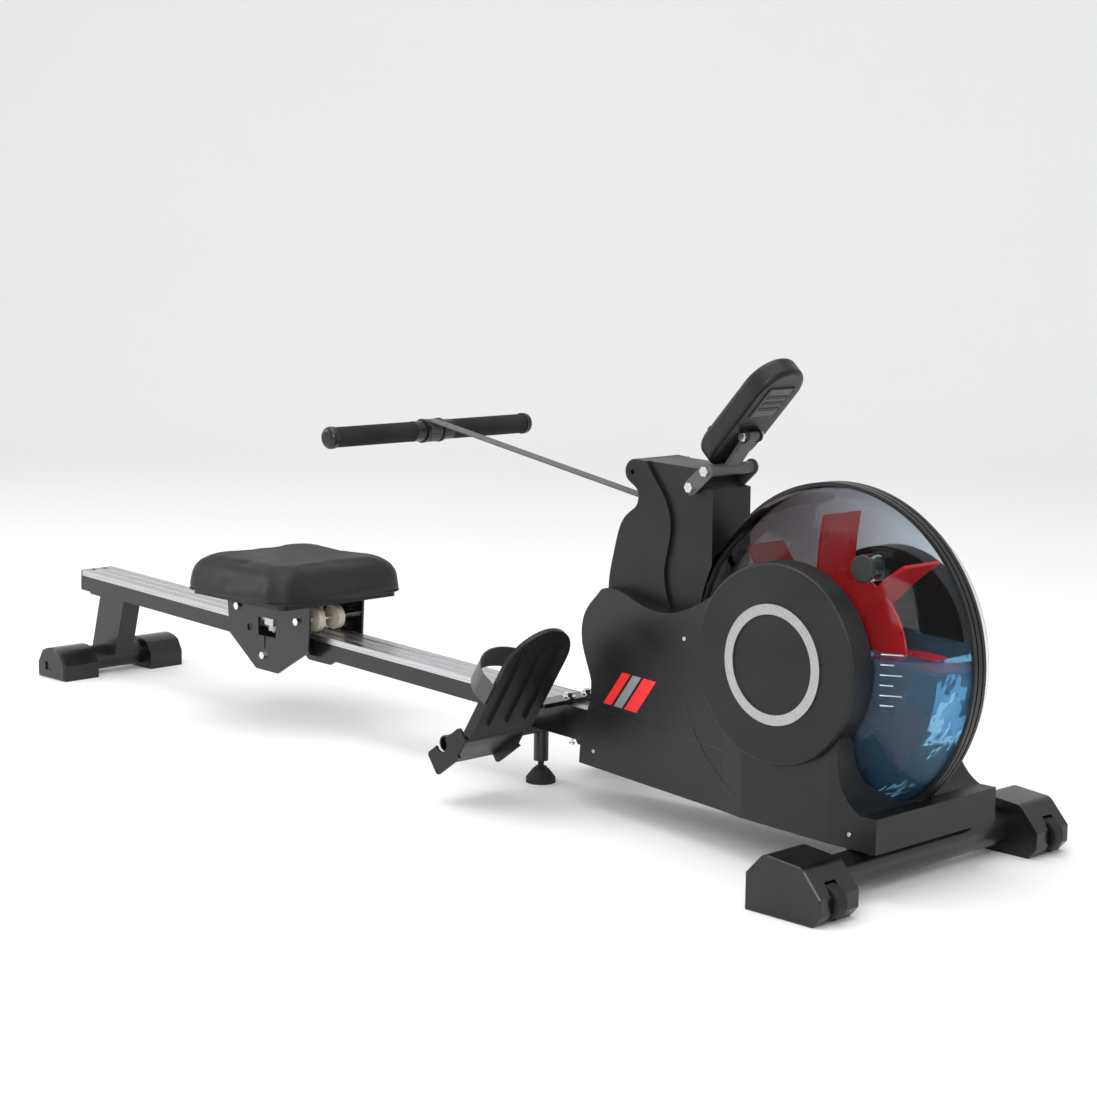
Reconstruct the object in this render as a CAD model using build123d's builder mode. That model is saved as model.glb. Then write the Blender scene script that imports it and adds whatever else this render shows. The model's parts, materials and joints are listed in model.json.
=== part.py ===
"""Water rowing machine: slanted aluminium rail with a rolling seat, foot plates, a pull handle on
a flat strap, a drive train, an upright water tank with a paddle wheel, and a small computer.

Millimetres. +X points to the water tank, +Z up, the mid-plane is y = 0 and the floor is z = 0.
The stored origin is on the floor under the middle of the machine's length. -Y is the right-hand side
of a person who sits on the seat and faces the tank.
"""

from build123d import *
from math import atan2, cos, degrees, radians, sin, sqrt, tan
import os

# ---------------------------------------------------------------- driving dimensions
# overall
stand_length = 2074  # from the rear foot to the front of the transport wheels
machine_half_width = 285
steel_wall = 2.5
cover_wall = 3.0
running_gap = 0.05  # radial gap of a turning or sliding fit
soft_gap = 0.3  # gap between a soft piece and what moves past it

# rail: aluminium track on a steel beam, falling towards the tank
rail_tilt = 2.1  # degrees
rail_width = 72
rail_rear_z = 197.3  # top of the track at its rear end
rail_front_x = 460
track_height = 10.5
beam_height = 28.5
track_groove = 7
track_groove_depth = 1.6
track_groove_y = 13
rail_cap_thick = 4

# rear stand
rear_tube_r = 24
rear_tube_z = 30
rear_stand_half = 139
rear_cap_length = 78
rear_cap_depth = 93
rear_cap_height = 60
leg_depth = 80
leg_width = 40
leg_lean = 37  # how much further back the foot of the leg is
leg_plate_thick = 5
leg_plate_length = 122

# front stand and its transport wheels
front_tube_r = 26
front_tube_inset = 82
front_tube_z = 38
front_cap_length = 80
front_cap_height = 82
front_cap_back = 56
front_cap_front = 72
wheel_r = 23.4
wheel_z = 29.2
wheel_width = 20
wheel_y = 249
wheel_side_gap = 1.5
wheel_axle_r = 5

# seat carriage, placed about its middle on the rail
seat_x = -412
plate_y = 58  # inner face of a side plate
plate_thick = 4
upper_roller_r = 22
upper_roller_spread = 85
upper_roller_width = 14
upper_roller_y = 22
lower_roller_r = 15
lower_roller_width = 46
lower_roller_dx = -8
roller_gap = 0.4  # between a roller and the rail
roller_axle_r = 4
side_roller_r = 9.5
side_roller_height = 9
side_roller_pin_r = 2.5
seat_length = 290
seat_width = 300
seat_thick = 66
seat_base_z = 225
seat_base_thick = 8

# pull handle and strap
handle_x = -50
handle_z = 547
handle_half = 212
handle_bar_r = 12.5
grip_r = 16.5
grip_inner_y = 42
collar_r = 17
strap_width = 24
strap_thick = 1.8
idler_x = 486
idler_z = 461
idler_r = 14
drum_x = 475
drum_z = 225
drum_r = 24
drum_flange_r = 34
drum_flange_thick = 2.5
wound_strap = 5.5  # depth of the strap wound on the drum
drum_shaft_r = 7
small_pulley_r = 36
belt_y = -57
belt_width = 8
belt_thick = 3
large_pulley_r = 80

# water tank
tank_x = 820
tank_z = 300
tank_r = 237
tank_half = 114
tank_core_r = 70  # flat part of each side
tank_wall = 4
pocket_floor_y = 48  # floor of the belt pocket in the right shell
pocket_margin = 7
band_half = 13
band_proud = 4.5
impeller_r = 198
blade_half = 40
blade_thick = 5
blade_count = 8
impeller_shaft_r = 8.5
bearing_r = 20
bearing_width = 8
water_level = 322
plug_r = 19
plug_stem_r = 14
plug_thick = 7
plug_seat_y = 90  # outer end of the fill neck
plug_neck = 26
plug_margin = 3  # flat ring round the plug on the shell
plug_radius = 183  # distance of the plug from the tank's axis
plug_angle = 51  # degrees above the horizontal, towards the front

# covers
cover_clear = 2.0  # gap between the covers and the tank
hub_r = 141
hub_face = 146
ring_outer = 84.3
ring_inner = 69.8
ring_thick = 2.5
base_floor_z = 66
base_top_z = 115
base_front_x = 1000
tower_half = 48
tower_front_half = 42
nose_r = 15

# chassis
side_beam_height = 30
side_beam_width = 25
chassis_z = 68
main_beam_width = 50
main_beam_height = 35
mast_x = 548
mast_depth = 32
mast_width = 40
mast_top = 440

# foot rests
foot_tube_x = 226
foot_tube_z = 96
foot_tube_r = 12.5
foot_bar_x = 303
foot_bar_width = 31
foot_bar_thick = 7
pedal_y = 155
pedal_width = 130
pedal_thick = 7
pedal_angle = 58
heel_angle = 36
foot_strap_width = 38

# levelling foot and lock pin
level_x = 222
level_post_r = 12
level_post_low = 36
level_stud_r = 5
level_foot_r = 24
pin_x = 292
pin_r = 2.6
pin_collar_z = 90

# computer
console_x = 646.5
console_z = 627
console_angle = 47.6
console_length = 200
console_width = 96
console_thick = 33
pivot_x = 647
pivot_z = 592
cross_rod_x = 607
cross_rod_z = 541

# ---------------------------------------------------------------- derived places
half_length = stand_length / 2
front_tube_x = half_length - front_tube_inset
tilt = radians(rail_tilt)
along = Vector(cos(tilt), 0, -sin(tilt))
upward = Vector(sin(tilt), 0, cos(tilt))
rail_rear_x = -half_length + rail_cap_thick
rail_height = track_height + beam_height
rail_length = (rail_front_x - rail_rear_x) / cos(tilt)
rear_tube_x = -half_length + rear_cap_depth / 2
wheel_x = half_length - wheel_r
# the drawing is laid out about the middle of the feet; the stored origin is the middle of the length
middle_x = (tank_x + tank_r + band_proud - half_length) / 2


def rail_top(x):
    """Height of the track's surface at x."""
    return rail_rear_z - (x - rail_rear_x) * tan(tilt)


def on_rail(x, height):
    """Point on the mid-plane, at a height square to the track above its surface at x."""
    return Vector(x, 0, rail_top(x)) + upward * height


def side_plane(y):
    """Plane across the machine at y. Sketch x is +X, sketch y is +Z, and it extrudes towards -Y."""
    return Plane.XZ.offset(-y)


def rail_section(x):
    """Plane square to the rail with its origin on the track's surface at x. It extrudes forward."""
    return Plane(origin=(x, 0, rail_top(x)), x_dir=(0, 1, 0), z_dir=tuple(along))


def rail_deck(x, height):
    """Plane parallel to the track, at a height above it. It extrudes upward."""
    point = on_rail(x, height)
    return Plane(origin=tuple(point), x_dir=tuple(along), z_dir=tuple(upward))


def tangent(x1, z1, r1, x2, z2, r2):
    """Outer tangent of two circles in the side view, on the left of the way from 1 to 2."""
    span = sqrt((x2 - x1) ** 2 + (z2 - z1) ** 2)
    ux, uz = (x2 - x1) / span, (z2 - z1) / span
    s = (r1 - r2) / span
    c = sqrt(1 - s * s)
    nx, nz = ux * s - uz * c, uz * s + ux * c
    return (x1 + r1 * nx, z1 + r1 * nz), (x2 + r2 * nx, z2 + r2 * nz)


def arc_middle(x, z, r, first, last):
    """Point of a circle half-way between two of its points."""
    dx = (first[0] + last[0]) / 2 - x
    dz = (first[1] + last[1]) / 2 - z
    size = sqrt(dx * dx + dz * dz)
    return (x + dx / size * r, z + dz / size * r)


def tank_body(shrink):
    """Solid of the tank's outside made smaller all round by shrink, as a turned solid about Y."""
    r, half = tank_r - shrink, tank_half - shrink
    with BuildPart(mode=Mode.PRIVATE) as body:
        with BuildSketch(Plane.XY):
            with BuildLine():
                EllipticalCenterArc((tank_core_r, 0), r - tank_core_r, half, start_angle=0, arc_size=90)
                Line((tank_core_r, half), (0, half))
                Line((0, half), (0, 0))
                Line((0, 0), (r, 0))
            make_face()
        revolve(axis=Axis.Y)
        mirror(about=Plane.XZ)
    return Pos(tank_x, 0, tank_z) * body.part


def save(builder, name):
    """Move a finished piece to the stored origin, label it and write it to its own file."""
    piece = Pos(-middle_x, 0, 0) * builder.part
    piece.label = name
    export_step(piece, f"parts/{name}.step")


def save_group(pieces, name):
    """Write several solids as one entry of the parts list."""
    group = Pos(-middle_x, 0, 0) * Compound([solid for piece in pieces for solid in piece.solids()])
    group.label = name
    export_step(group, f"parts/{name}.step")


os.makedirs("parts", exist_ok=True)
tank_outside = tank_body(0)

# ---------------------------------------------------------------- rail
with BuildPart() as rail_extrusion:
    with BuildSketch(rail_section(rail_rear_x)):
        with Locations((0, -track_height / 2)):
            Rectangle(rail_width, track_height)
        with Locations((-track_groove_y, 0), (track_groove_y, 0)):
            Rectangle(track_groove, 2 * track_groove_depth, mode=Mode.SUBTRACT)
    extrude(amount=rail_length)
save(rail_extrusion, "rail_extrusion")

with BuildPart() as rail_beam:
    with BuildSketch(rail_section(rail_rear_x)):
        with Locations((0, -track_height - beam_height / 2)):
            Rectangle(rail_width, beam_height)
            Rectangle(rail_width - 2 * steel_wall, beam_height - 2 * steel_wall, mode=Mode.SUBTRACT)
    extrude(amount=rail_length)
save(rail_beam, "rail_beam")

with BuildPart() as rail_end_cap:
    with BuildSketch(rail_section(rail_rear_x)):
        with Locations((0, -rail_height / 2)):
            RectangleRounded(rail_width, rail_height, 2)
    extrude(amount=-rail_cap_thick)
save(rail_end_cap, "rail_end_cap")

# ---------------------------------------------------------------- rear stand
leg_top_x = rear_tube_x + leg_lean
leg_plate_z = rail_top(leg_top_x) - rail_height
with BuildPart() as rear_leg:
    with BuildSketch(side_plane(leg_width / 2)):
        with BuildLine():
            Polyline(
                (rear_tube_x - leg_depth / 2, rear_tube_z),
                (rear_tube_x + leg_depth / 2, rear_tube_z),
                (leg_top_x + leg_depth / 2, leg_plate_z + leg_plate_thick),
                (leg_top_x - leg_depth / 2, leg_plate_z + leg_plate_thick),
                close=True,
            )
        make_face()
    extrude(amount=leg_width)
    with BuildSketch(rail_deck(leg_top_x - leg_plate_length / 2, -rail_height - leg_plate_thick)):
        with Locations((leg_plate_length / 2, 0)):
            RectangleRounded(leg_plate_length, rail_width - 8, 4)
    extrude(amount=leg_plate_thick)
    with BuildSketch(rail_deck(leg_top_x - leg_depth, -rail_height)):
        with Locations((leg_depth, 0)):
            Rectangle(leg_depth * 3, rail_width * 2)
    extrude(amount=rail_height, mode=Mode.SUBTRACT)
    with BuildSketch(side_plane(rear_stand_half)):
        with Locations((rear_tube_x, rear_tube_z)):
            Circle(rear_tube_r)
    extrude(amount=2 * rear_stand_half, mode=Mode.SUBTRACT)
    with BuildSketch(Plane.XY):
        with Locations((rear_tube_x, 0)):
            Rectangle(leg_depth * 2, leg_width * 2)
    extrude(amount=rear_tube_z + rear_tube_r / 3, mode=Mode.SUBTRACT)

with BuildPart() as rear_stabilizer_tube:
    with BuildSketch(side_plane(rear_stand_half - 10)):
        with Locations((rear_tube_x, rear_tube_z)):
            Circle(rear_tube_r)
            Circle(rear_tube_r - steel_wall, mode=Mode.SUBTRACT)
    extrude(amount=2 * (rear_stand_half - 10))
save_group([rear_leg.part, rear_stabilizer_tube.part], "rear_stand")

rear_half = rear_cap_depth / 2


def rear_foot(side):
    """Moulded end cap of the rear tube, with its flat foot on the floor."""
    crown_x, crown_z = rear_half * 0.72, rear_cap_height * 0.86
    with BuildPart(mode=Mode.PRIVATE) as foot:
        with BuildSketch(side_plane(side * rear_stand_half)):
            with BuildLine():
                left = (rear_tube_x - rear_half, 30)
                right = (rear_tube_x + rear_half, 30)
                Polyline(left, (rear_tube_x - rear_half, 0), (rear_tube_x + rear_half, 0), right)
                Line(right, (rear_tube_x + crown_x, crown_z))
                ThreePointArc(
                    (rear_tube_x + crown_x, crown_z),
                    (rear_tube_x, rear_cap_height),
                    (rear_tube_x - crown_x, crown_z),
                )
                Line((rear_tube_x - crown_x, crown_z), left)
            make_face()
        extrude(amount=side * rear_cap_length)
        with BuildSketch(side_plane(side * (rear_stand_half - 10))):
            with Locations((rear_tube_x, rear_tube_z)):
                Circle(rear_tube_r)
        extrude(amount=side * rear_cap_length, mode=Mode.SUBTRACT)
        chamfer(foot.faces().sort_by(Axis.Y)[-1 if side > 0 else 0].edges(), length=4)
        with BuildSketch(side_plane(side * rear_stand_half)):
            with Locations((rear_tube_x - 8, 24)):
                Rectangle(22, 16)
        extrude(amount=side * 3, mode=Mode.SUBTRACT)
    return foot.part


with BuildPart() as rear_feet:
    for side in (1, -1):
        add(rear_foot(side))
save(rear_feet, "rear_feet")

# ---------------------------------------------------------------- front stand
with BuildPart() as front_stabilizer_tube:
    with BuildSketch(side_plane(machine_half_width - 12)):
        with Locations((front_tube_x, front_tube_z)):
            Circle(front_tube_r)
            Circle(front_tube_r - steel_wall, mode=Mode.SUBTRACT)
    extrude(amount=2 * (machine_half_width - 12))
save(front_stabilizer_tube, "front_stabilizer_tube")

slot_half = wheel_width / 2 + wheel_side_gap


def front_foot(side):
    """Moulded end cap of the front tube, with a slot at its front for the transport wheel."""
    back_x = front_tube_x - front_cap_back
    nose_x = front_tube_x + front_cap_front
    with BuildPart(mode=Mode.PRIVATE) as foot:
        with BuildSketch(side_plane(side * machine_half_width)):
            with BuildLine():
                Polyline(
                    (back_x, 0),
                    (nose_x - 14, 0),
                    (nose_x, 16),
                    (nose_x, 40),
                    (front_tube_x + 40, front_cap_height - 6),
                    (front_tube_x - 26, front_cap_height),
                    (back_x, front_cap_height * 0.62),
                    close=True,
                )
            make_face()
            fillet(vertices().group_by(Axis.Y)[-1] + vertices().group_by(Axis.Y)[-2], radius=16)
        extrude(amount=side * front_cap_length)
        chamfer(foot.faces().sort_by(Axis.Y)[-1 if side > 0 else 0].edges(), length=2)
        with BuildSketch(side_plane(side * (machine_half_width - 12))):
            with Locations((front_tube_x, front_tube_z)):
                Circle(front_tube_r)
        extrude(amount=side * front_cap_length, mode=Mode.SUBTRACT)
        # slot for the transport wheel, open to the front and below
        with BuildSketch(side_plane(side * wheel_y + slot_half)):
            with Locations((wheel_x, wheel_z)):
                Circle(wheel_r + 4)
            with Locations((wheel_x + 30, wheel_z)):
                Rectangle(60, 2 * (wheel_r + 4))
            with Locations((wheel_x, 0)):
                Rectangle(2 * (wheel_r + 4), 2 * wheel_z)
            with Locations((front_tube_x, front_tube_z)):
                Circle(front_tube_r + 1.5, mode=Mode.SUBTRACT)
        extrude(amount=2 * slot_half, mode=Mode.SUBTRACT)
        with BuildSketch(side_plane(side * wheel_y + slot_half + 8)):
            with Locations((wheel_x, wheel_z)):
                Circle(wheel_axle_r)
        extrude(amount=2 * slot_half + 16, mode=Mode.SUBTRACT)
    return foot.part


with BuildPart() as front_feet:
    for side in (1, -1):
        add(front_foot(side))
save(front_feet, "front_feet")

for side, hand in ((1, "left"), (-1, "right")):
    with BuildPart() as wheel:
        with BuildSketch(side_plane(side * wheel_y + wheel_width / 2)):
            with Locations((wheel_x, wheel_z)):
                Circle(wheel_r)
                Circle(wheel_axle_r + running_gap, mode=Mode.SUBTRACT)
        extrude(amount=wheel_width)
        rims = wheel.edges().filter_by(GeomType.CIRCLE).sort_by(SortBy.RADIUS)[-2:]
        fillet(rims, radius=3)
        for direction in (1, -1):
            with BuildSketch(side_plane(side * wheel_y + direction * wheel_width / 2)):
                with Locations((wheel_x, wheel_z)):
                    Circle(wheel_r - 6)
                    Circle(wheel_axle_r + 3.5, mode=Mode.SUBTRACT)
            extrude(amount=direction * 3, mode=Mode.SUBTRACT)
    save(wheel, f"transport_wheel_{hand}")

with BuildPart() as wheel_axles:
    for side in (1, -1):
        with BuildSketch(side_plane(side * wheel_y + slot_half + 8)):
            with Locations((wheel_x, wheel_z)):
                Circle(wheel_axle_r)
        extrude(amount=2 * slot_half + 16)
save(wheel_axles, "wheel_axles")

# ---------------------------------------------------------------- chassis
beam_start_x = 372
fork_x = 640
side_beam_inner = 92
cradle_length = 90
cradle_width = 52
cradle_height = 24


def chassis_plan(side, start_x, start_inner):
    """Plan outline of one side beam, which splays from the fork to run beside the tank."""
    bend_x = 760
    width = side_beam_width
    return [
        (start_x, side * start_inner),
        (bend_x, side * side_beam_inner),
        (front_tube_x + 12, side * side_beam_inner),
        (front_tube_x + 12, side * (side_beam_inner + width)),
        (bend_x, side * (side_beam_inner + width)),
        (start_x, side * (start_inner + width)),
    ]


with BuildPart() as side_beams:
    for side in (1, -1):
        with BuildSketch(Plane.XY.offset(chassis_z)):
            with BuildLine():
                Polyline(*chassis_plan(side, fork_x - 40, 45), close=True)
            make_face()
        extrude(amount=side_beam_height)
    with BuildSketch(Plane.XY.offset(chassis_z)):
        with Locations((fork_x - 30, 0)):
            Rectangle(40, 2 * 62)
    extrude(amount=side_beam_height)
    with BuildSketch(Plane.XY.offset(chassis_z - 10)):
        for side in (1, -1):
            with Locations((front_tube_x, side * (side_beam_inner + side_beam_width / 2))):
                Rectangle(40, side_beam_width)
    extrude(amount=10)
    with BuildSketch(side_plane(side_beam_inner * 2)):
        with Locations((front_tube_x, front_tube_z)):
            Circle(front_tube_r)
    extrude(amount=4 * side_beam_inner, mode=Mode.SUBTRACT)
    with BuildSketch(Plane.XY.offset(chassis_z)):
        with Locations((beam_start_x + (fork_x - beam_start_x) / 2, 0)):
            Rectangle(fork_x - beam_start_x, main_beam_width)
    extrude(amount=side_beam_height, mode=Mode.SUBTRACT)
    # blocks that the tank rests on
    with BuildSketch(Plane.XY.offset(chassis_z + side_beam_height)):
        for side in (1, -1):
            with Locations((tank_x, side * (side_beam_inner + side_beam_width - cradle_width / 2))):
                Rectangle(cradle_length, cradle_width)
    extrude(amount=cradle_height)
    add(tank_outside, mode=Mode.SUBTRACT)
save(side_beams, "side_beams")

# main beam under the covers, with the rail saddle that clamps the rail's front end
saddle_rear_x = 196
saddle_front_x = 470
saddle_thick = 4
saddle_gap = 0.2
skirt = 8
with BuildPart() as main_beam:
    with BuildSketch(Plane.XY.offset(chassis_z)):
        with Locations((beam_start_x + (fork_x - beam_start_x) / 2, 0)):
            Rectangle(fork_x - beam_start_x, main_beam_width)
    extrude(amount=main_beam_height)
    fillet(main_beam.edges().filter_by(Axis.X), radius=3)
    with BuildSketch(Plane.XY.offset(chassis_z + steel_wall)):
        with Locations((beam_start_x + (fork_x - beam_start_x) / 2, 0)):
            Rectangle(fork_x - beam_start_x, main_beam_width - 2 * steel_wall)
    extrude(amount=main_beam_height - 2 * steel_wall, mode=Mode.SUBTRACT)
    with BuildSketch(rail_section(saddle_rear_x)):
        saddle_half = rail_width / 2 + saddle_gap + saddle_thick
        with Locations((0, -(rail_height + saddle_thick + skirt) / 2)):
            Rectangle(2 * saddle_half, rail_height + saddle_thick + skirt)
        with Locations((0, -(rail_height + saddle_gap) / 2 + saddle_gap)):
            Rectangle(rail_width + 2 * saddle_gap, rail_height + 3 * saddle_gap, mode=Mode.SUBTRACT)
        with Locations((0, -rail_height - saddle_thick - skirt)):
            Rectangle(rail_width + 2 * saddle_gap, 2 * skirt, mode=Mode.SUBTRACT)
    extrude(amount=(saddle_front_x - saddle_rear_x) / cos(tilt))
    # post of the levelling foot, welded under the saddle, with its threaded bore
    with BuildSketch(Plane.XY.offset(level_post_low)):
        with Locations((level_x, 0)):
            Circle(level_post_r)
    extrude(amount=foot_tube_z - level_post_low)
    with BuildSketch(side_plane(100)):
        with Locations((foot_tube_x, foot_tube_z)):
            Circle(foot_tube_r)
    extrude(amount=200, mode=Mode.SUBTRACT)
    with BuildSketch(Plane.XY.offset(level_post_low)):
        with Locations((level_x, 0)):
            Circle(level_stud_r + running_gap)
    extrude(amount=34, mode=Mode.SUBTRACT)
    # collar and bore of the lock pin under the saddle's floor
    with BuildSketch(Plane.XY.offset(pin_collar_z)):
        with Locations((pin_x, 0)):
            Circle(6.5)
    extrude(amount=rail_top(pin_x) - rail_height - saddle_thick + 1 - pin_collar_z)
    with BuildSketch(Plane.XY.offset(chassis_z)):
        with Locations((pin_x, 0)):
            Circle(pin_r + running_gap)
    extrude(amount=60, mode=Mode.SUBTRACT)
save(main_beam, "main_beam")

# mast that carries the strap rollers and the tower
with BuildPart() as mast:
    mast_foot = chassis_z + main_beam_height
    with BuildSketch(Plane.XY.offset(mast_foot)):
        with Locations((mast_x, 0)):
            RectangleRounded(mast_depth, mast_width, 3)
            RectangleRounded(mast_depth - 2 * steel_wall, mast_width - 2 * steel_wall, 1, mode=Mode.SUBTRACT)
    extrude(amount=mast_top - mast_foot)
    with BuildSketch(Plane.XY.offset(mast_top)):
        with Locations((mast_x, 0)):
            RectangleRounded(mast_depth, mast_width, 3)
    extrude(amount=4)
save(mast, "mast")

# ---------------------------------------------------------------- foot rests
foot_rest_outer = pedal_y + pedal_width / 2
with BuildPart() as foot_tube:
    with BuildSketch(side_plane(foot_rest_outer - 8)):
        with Locations((foot_tube_x, foot_tube_z)):
            Circle(foot_tube_r)
            Circle(foot_tube_r - steel_wall, mode=Mode.SUBTRACT)
    extrude(amount=2 * (foot_rest_outer - 8))
    # notch that clears the saddle's floor and skirts
    with BuildSketch(rail_deck(foot_tube_x, -rail_height - saddle_gap - saddle_thick)):
        Rectangle(60, rail_width + 40)
    extrude(amount=20, mode=Mode.SUBTRACT)
    for side in (1, -1):
        with BuildSketch(rail_deck(foot_tube_x, -rail_height - saddle_thick - skirt - 1)):
            with Locations((0, side * (saddle_half - saddle_thick / 2))):
                Rectangle(60, saddle_thick + 1)
        extrude(amount=30, mode=Mode.SUBTRACT)
    with BuildSketch(Plane.XY.offset(level_post_low)):
        with Locations((level_x, 0)):
            Circle(level_stud_r + running_gap)
    extrude(amount=34, mode=Mode.SUBTRACT)

foot_bar_reach = pedal_y - pedal_width / 2
with BuildPart() as foot_bar:
    with BuildSketch(rail_deck(foot_bar_x, 0.2)):
        Rectangle(foot_bar_width, 2 * foot_bar_reach)
    extrude(amount=foot_bar_thick)
    fillet(foot_bar.edges().filter_by(Axis.Z, tolerance=5), radius=3)
save_group([foot_tube.part, foot_bar.part], "foot_rest_bars")

with BuildPart() as foot_bar_bolts:
    with BuildSketch(rail_deck(foot_bar_x, 0.2 + foot_bar_thick)):
        with Locations((0, 20), (0, -20)):
            Circle(11)
    extrude(amount=1.6)
    with BuildSketch(rail_deck(foot_bar_x, 0.2 + foot_bar_thick + 1.6)):
        with Locations((0, 20), (0, -20)):
            RegularPolygon(7, 6)
    extrude(amount=5.5)

# one foot plate: a ribbed plate with a round toe and a heel tray with side flanges
heel_x, heel_z = 285, 118
plate_run = 206
tray_run = 96
toe = radians(pedal_angle)
heel = radians(heel_angle)
toe_plane_dir = Vector(cos(toe), 0, sin(toe))
toe_normal = Vector(-sin(toe), 0, cos(toe))
heel_dir = Vector(-cos(heel), 0, -sin(heel))
heel_normal = Vector(-sin(heel), 0, cos(heel))
heel_point = Vector(heel_x, 0, heel_z)
foot_plates, heel_trays, foot_straps = [], [], []
for side in (1, -1):
    middle = Vector(0, side * pedal_y, 0)
    with BuildPart() as foot_plate:
        # the sketch lies on the plate's foot side: x along the plate, y across it
        face = Plane(
            origin=tuple(heel_point + middle), x_dir=tuple(toe_plane_dir), z_dir=tuple(toe_normal)
        )
        with BuildSketch(face):
            with Locations((plate_run / 2 - pedal_width / 4, 0)):
                Rectangle(plate_run - pedal_width / 2, pedal_width)
            with Locations((plate_run - pedal_width / 2, 0)):
                Circle(pedal_width / 2)
        extrude(amount=-pedal_thick)
        # three ribs on the side away from the foot
        with BuildSketch(face.offset(-pedal_thick)):
            for rib_y in (-38, 0, 38):
                with Locations((plate_run / 2 - 6, rib_y)):
                    SlotOverall(plate_run - 60, 7)
        extrude(amount=-5)
        # side rims that hold the foot
        with BuildSketch(face):
            for rim in (1, -1):
                with Locations((50, rim * (pedal_width / 2 - 2.5))):
                    Rectangle(100, 5)
        extrude(amount=10)
    foot_plates.append(foot_plate.part)

    with BuildPart() as heel_tray:
        tray = Plane(
            origin=tuple(heel_point + middle - heel_normal * 0.2 - toe_plane_dir * 0.2),
            x_dir=tuple(heel_dir),
            z_dir=tuple(heel_normal),
        )
        with BuildSketch(tray):
            with Locations((tray_run / 2 + 4, 0)):
                Rectangle(tray_run - 8, pedal_width)
        extrude(amount=-5)
        for rim in (1, -1):
            flange_y = side * pedal_y + rim * (pedal_width / 2)
            flange_plane = Plane(origin=(heel_x, flange_y, heel_z), x_dir=tuple(heel_dir), z_dir=(0, 1, 0))
            with BuildSketch(flange_plane):
                with Locations((tray_run / 2 + 5, 0)):
                    RectangleRounded(tray_run - 6, 40, 6)
            extrude(amount=-rim * 4)
        with BuildSketch(side_plane(200 + pedal_y * side)):
            with Locations((foot_tube_x, foot_tube_z)):
                Circle(foot_tube_r)
        extrude(amount=400, mode=Mode.SUBTRACT)
        # the foot plate stands clear of the tray
        with BuildSketch(face):
            with Locations((60, 0)):
                Rectangle(200, pedal_width * 2)
        extrude(amount=-60, mode=Mode.SUBTRACT)
    heel_trays.append(heel_tray.part)

    # strap over the instep: an arch of webbing held at both edges of the plate
    with BuildPart() as foot_strap:
        strap_s = 88
        strap_origin = heel_point + middle + toe_plane_dir * strap_s
        arch = Plane(origin=tuple(strap_origin), x_dir=(0, 1, 0), z_dir=tuple(toe_plane_dir))
        half = pedal_width / 2 + 1
        with BuildSketch(arch):
            with BuildLine():
                outer_left, outer_right = (-half - 2, -4), (half + 2, -4)
                inner_left, inner_right = (-half, -4), (half, -4)
                Line(inner_left, outer_left)
                Line(outer_left, (-half - 2, 24))
                ThreePointArc((-half - 2, 24), (0, 74), (half + 2, 24))
                Line((half + 2, 24), outer_right)
                Line(outer_right, inner_right)
                Line(inner_right, (half, 24))
                ThreePointArc((half, 24), (0, 72), (-half, 24))
                Line((-half, 24), inner_left)
            make_face()
        extrude(amount=foot_strap_width / 2, both=True)
    foot_straps.append(foot_strap.part)

save_group(foot_plates, "foot_plates")
save_group(heel_trays, "heel_trays")
save_group(foot_straps, "foot_straps")

# ---------------------------------------------------------------- levelling foot and lock pin
with BuildPart() as level_foot:
    with BuildSketch(Plane.XY):
        with Locations((level_x, 0)):
            Circle(level_foot_r)
    extrude(amount=8)
    with BuildSketch(Plane.XY.offset(8)):
        with Locations((level_x, 0)):
            Circle(level_foot_r)
    extrude(amount=14, taper=38)
    with BuildSketch(Plane.XY.offset(20)):
        with Locations((level_x, 0)):
            RegularPolygon(10, 6)
    extrude(amount=6)
    with BuildSketch(Plane.XY.offset(20)):
        with Locations((level_x, 0)):
            Circle(level_stud_r)
    extrude(amount=34)
save(level_foot, "levelling_foot")

pin_top = rail_top(pin_x) - rail_height - saddle_gap
with BuildPart() as lock_pin:
    with BuildSketch(Plane.XY.offset(74)):
        with Locations((pin_x, 0)):
            Circle(5)
    extrude(amount=3)
    with BuildSketch(Plane.XY.offset(74)):
        with Locations((pin_x, 0)):
            Circle(pin_r)
    extrude(amount=pin_top - 74 - 1)
save(lock_pin, "rail_lock_pin")

# ---------------------------------------------------------------- seat carriage
def upper_axle(direction):
    """Axle of the rear (-1) or front (1) upper roller."""
    return on_rail(seat_x + direction * upper_roller_spread, upper_roller_r + roller_gap)


lower_axle = on_rail(seat_x + lower_roller_dx, -rail_height - lower_roller_r - roller_gap)
axle_points = [upper_axle(-1), upper_axle(1), lower_axle]
plate_outline = [(-115, 205), (-109, 148), (-32, 94), (30, 93), (116, 143), (120, 225), (-115, 225)]
window_x, window_z, window_w, window_h = 0, 172, 50, 33

carriage_plates = []
for side in (1, -1):
    start = side * plate_y
    with BuildPart() as carriage_plate:
        with BuildSketch(side_plane(start)):
            with BuildLine():
                Polyline(*[(seat_x + x, z) for x, z in plate_outline], close=True)
            make_face()
            with Locations((seat_x + window_x, window_z)):
                Rectangle(window_w, window_h, mode=Mode.SUBTRACT)
            with Locations((seat_x + window_x - 6, window_z - window_h / 2 - 10)):
                SlotOverall(26, 3.5, rotation=90, mode=Mode.SUBTRACT)
            with Locations((seat_x - 50, 166)):
                Circle(7, mode=Mode.SUBTRACT)
            for point in axle_points:
                with Locations((point.X, point.Z)):
                    Circle(roller_axle_r, mode=Mode.SUBTRACT)
        extrude(amount=-side * plate_thick)
    carriage_plates.append(carriage_plate.part)
save_group(carriage_plates, "carriage_plates")

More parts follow.
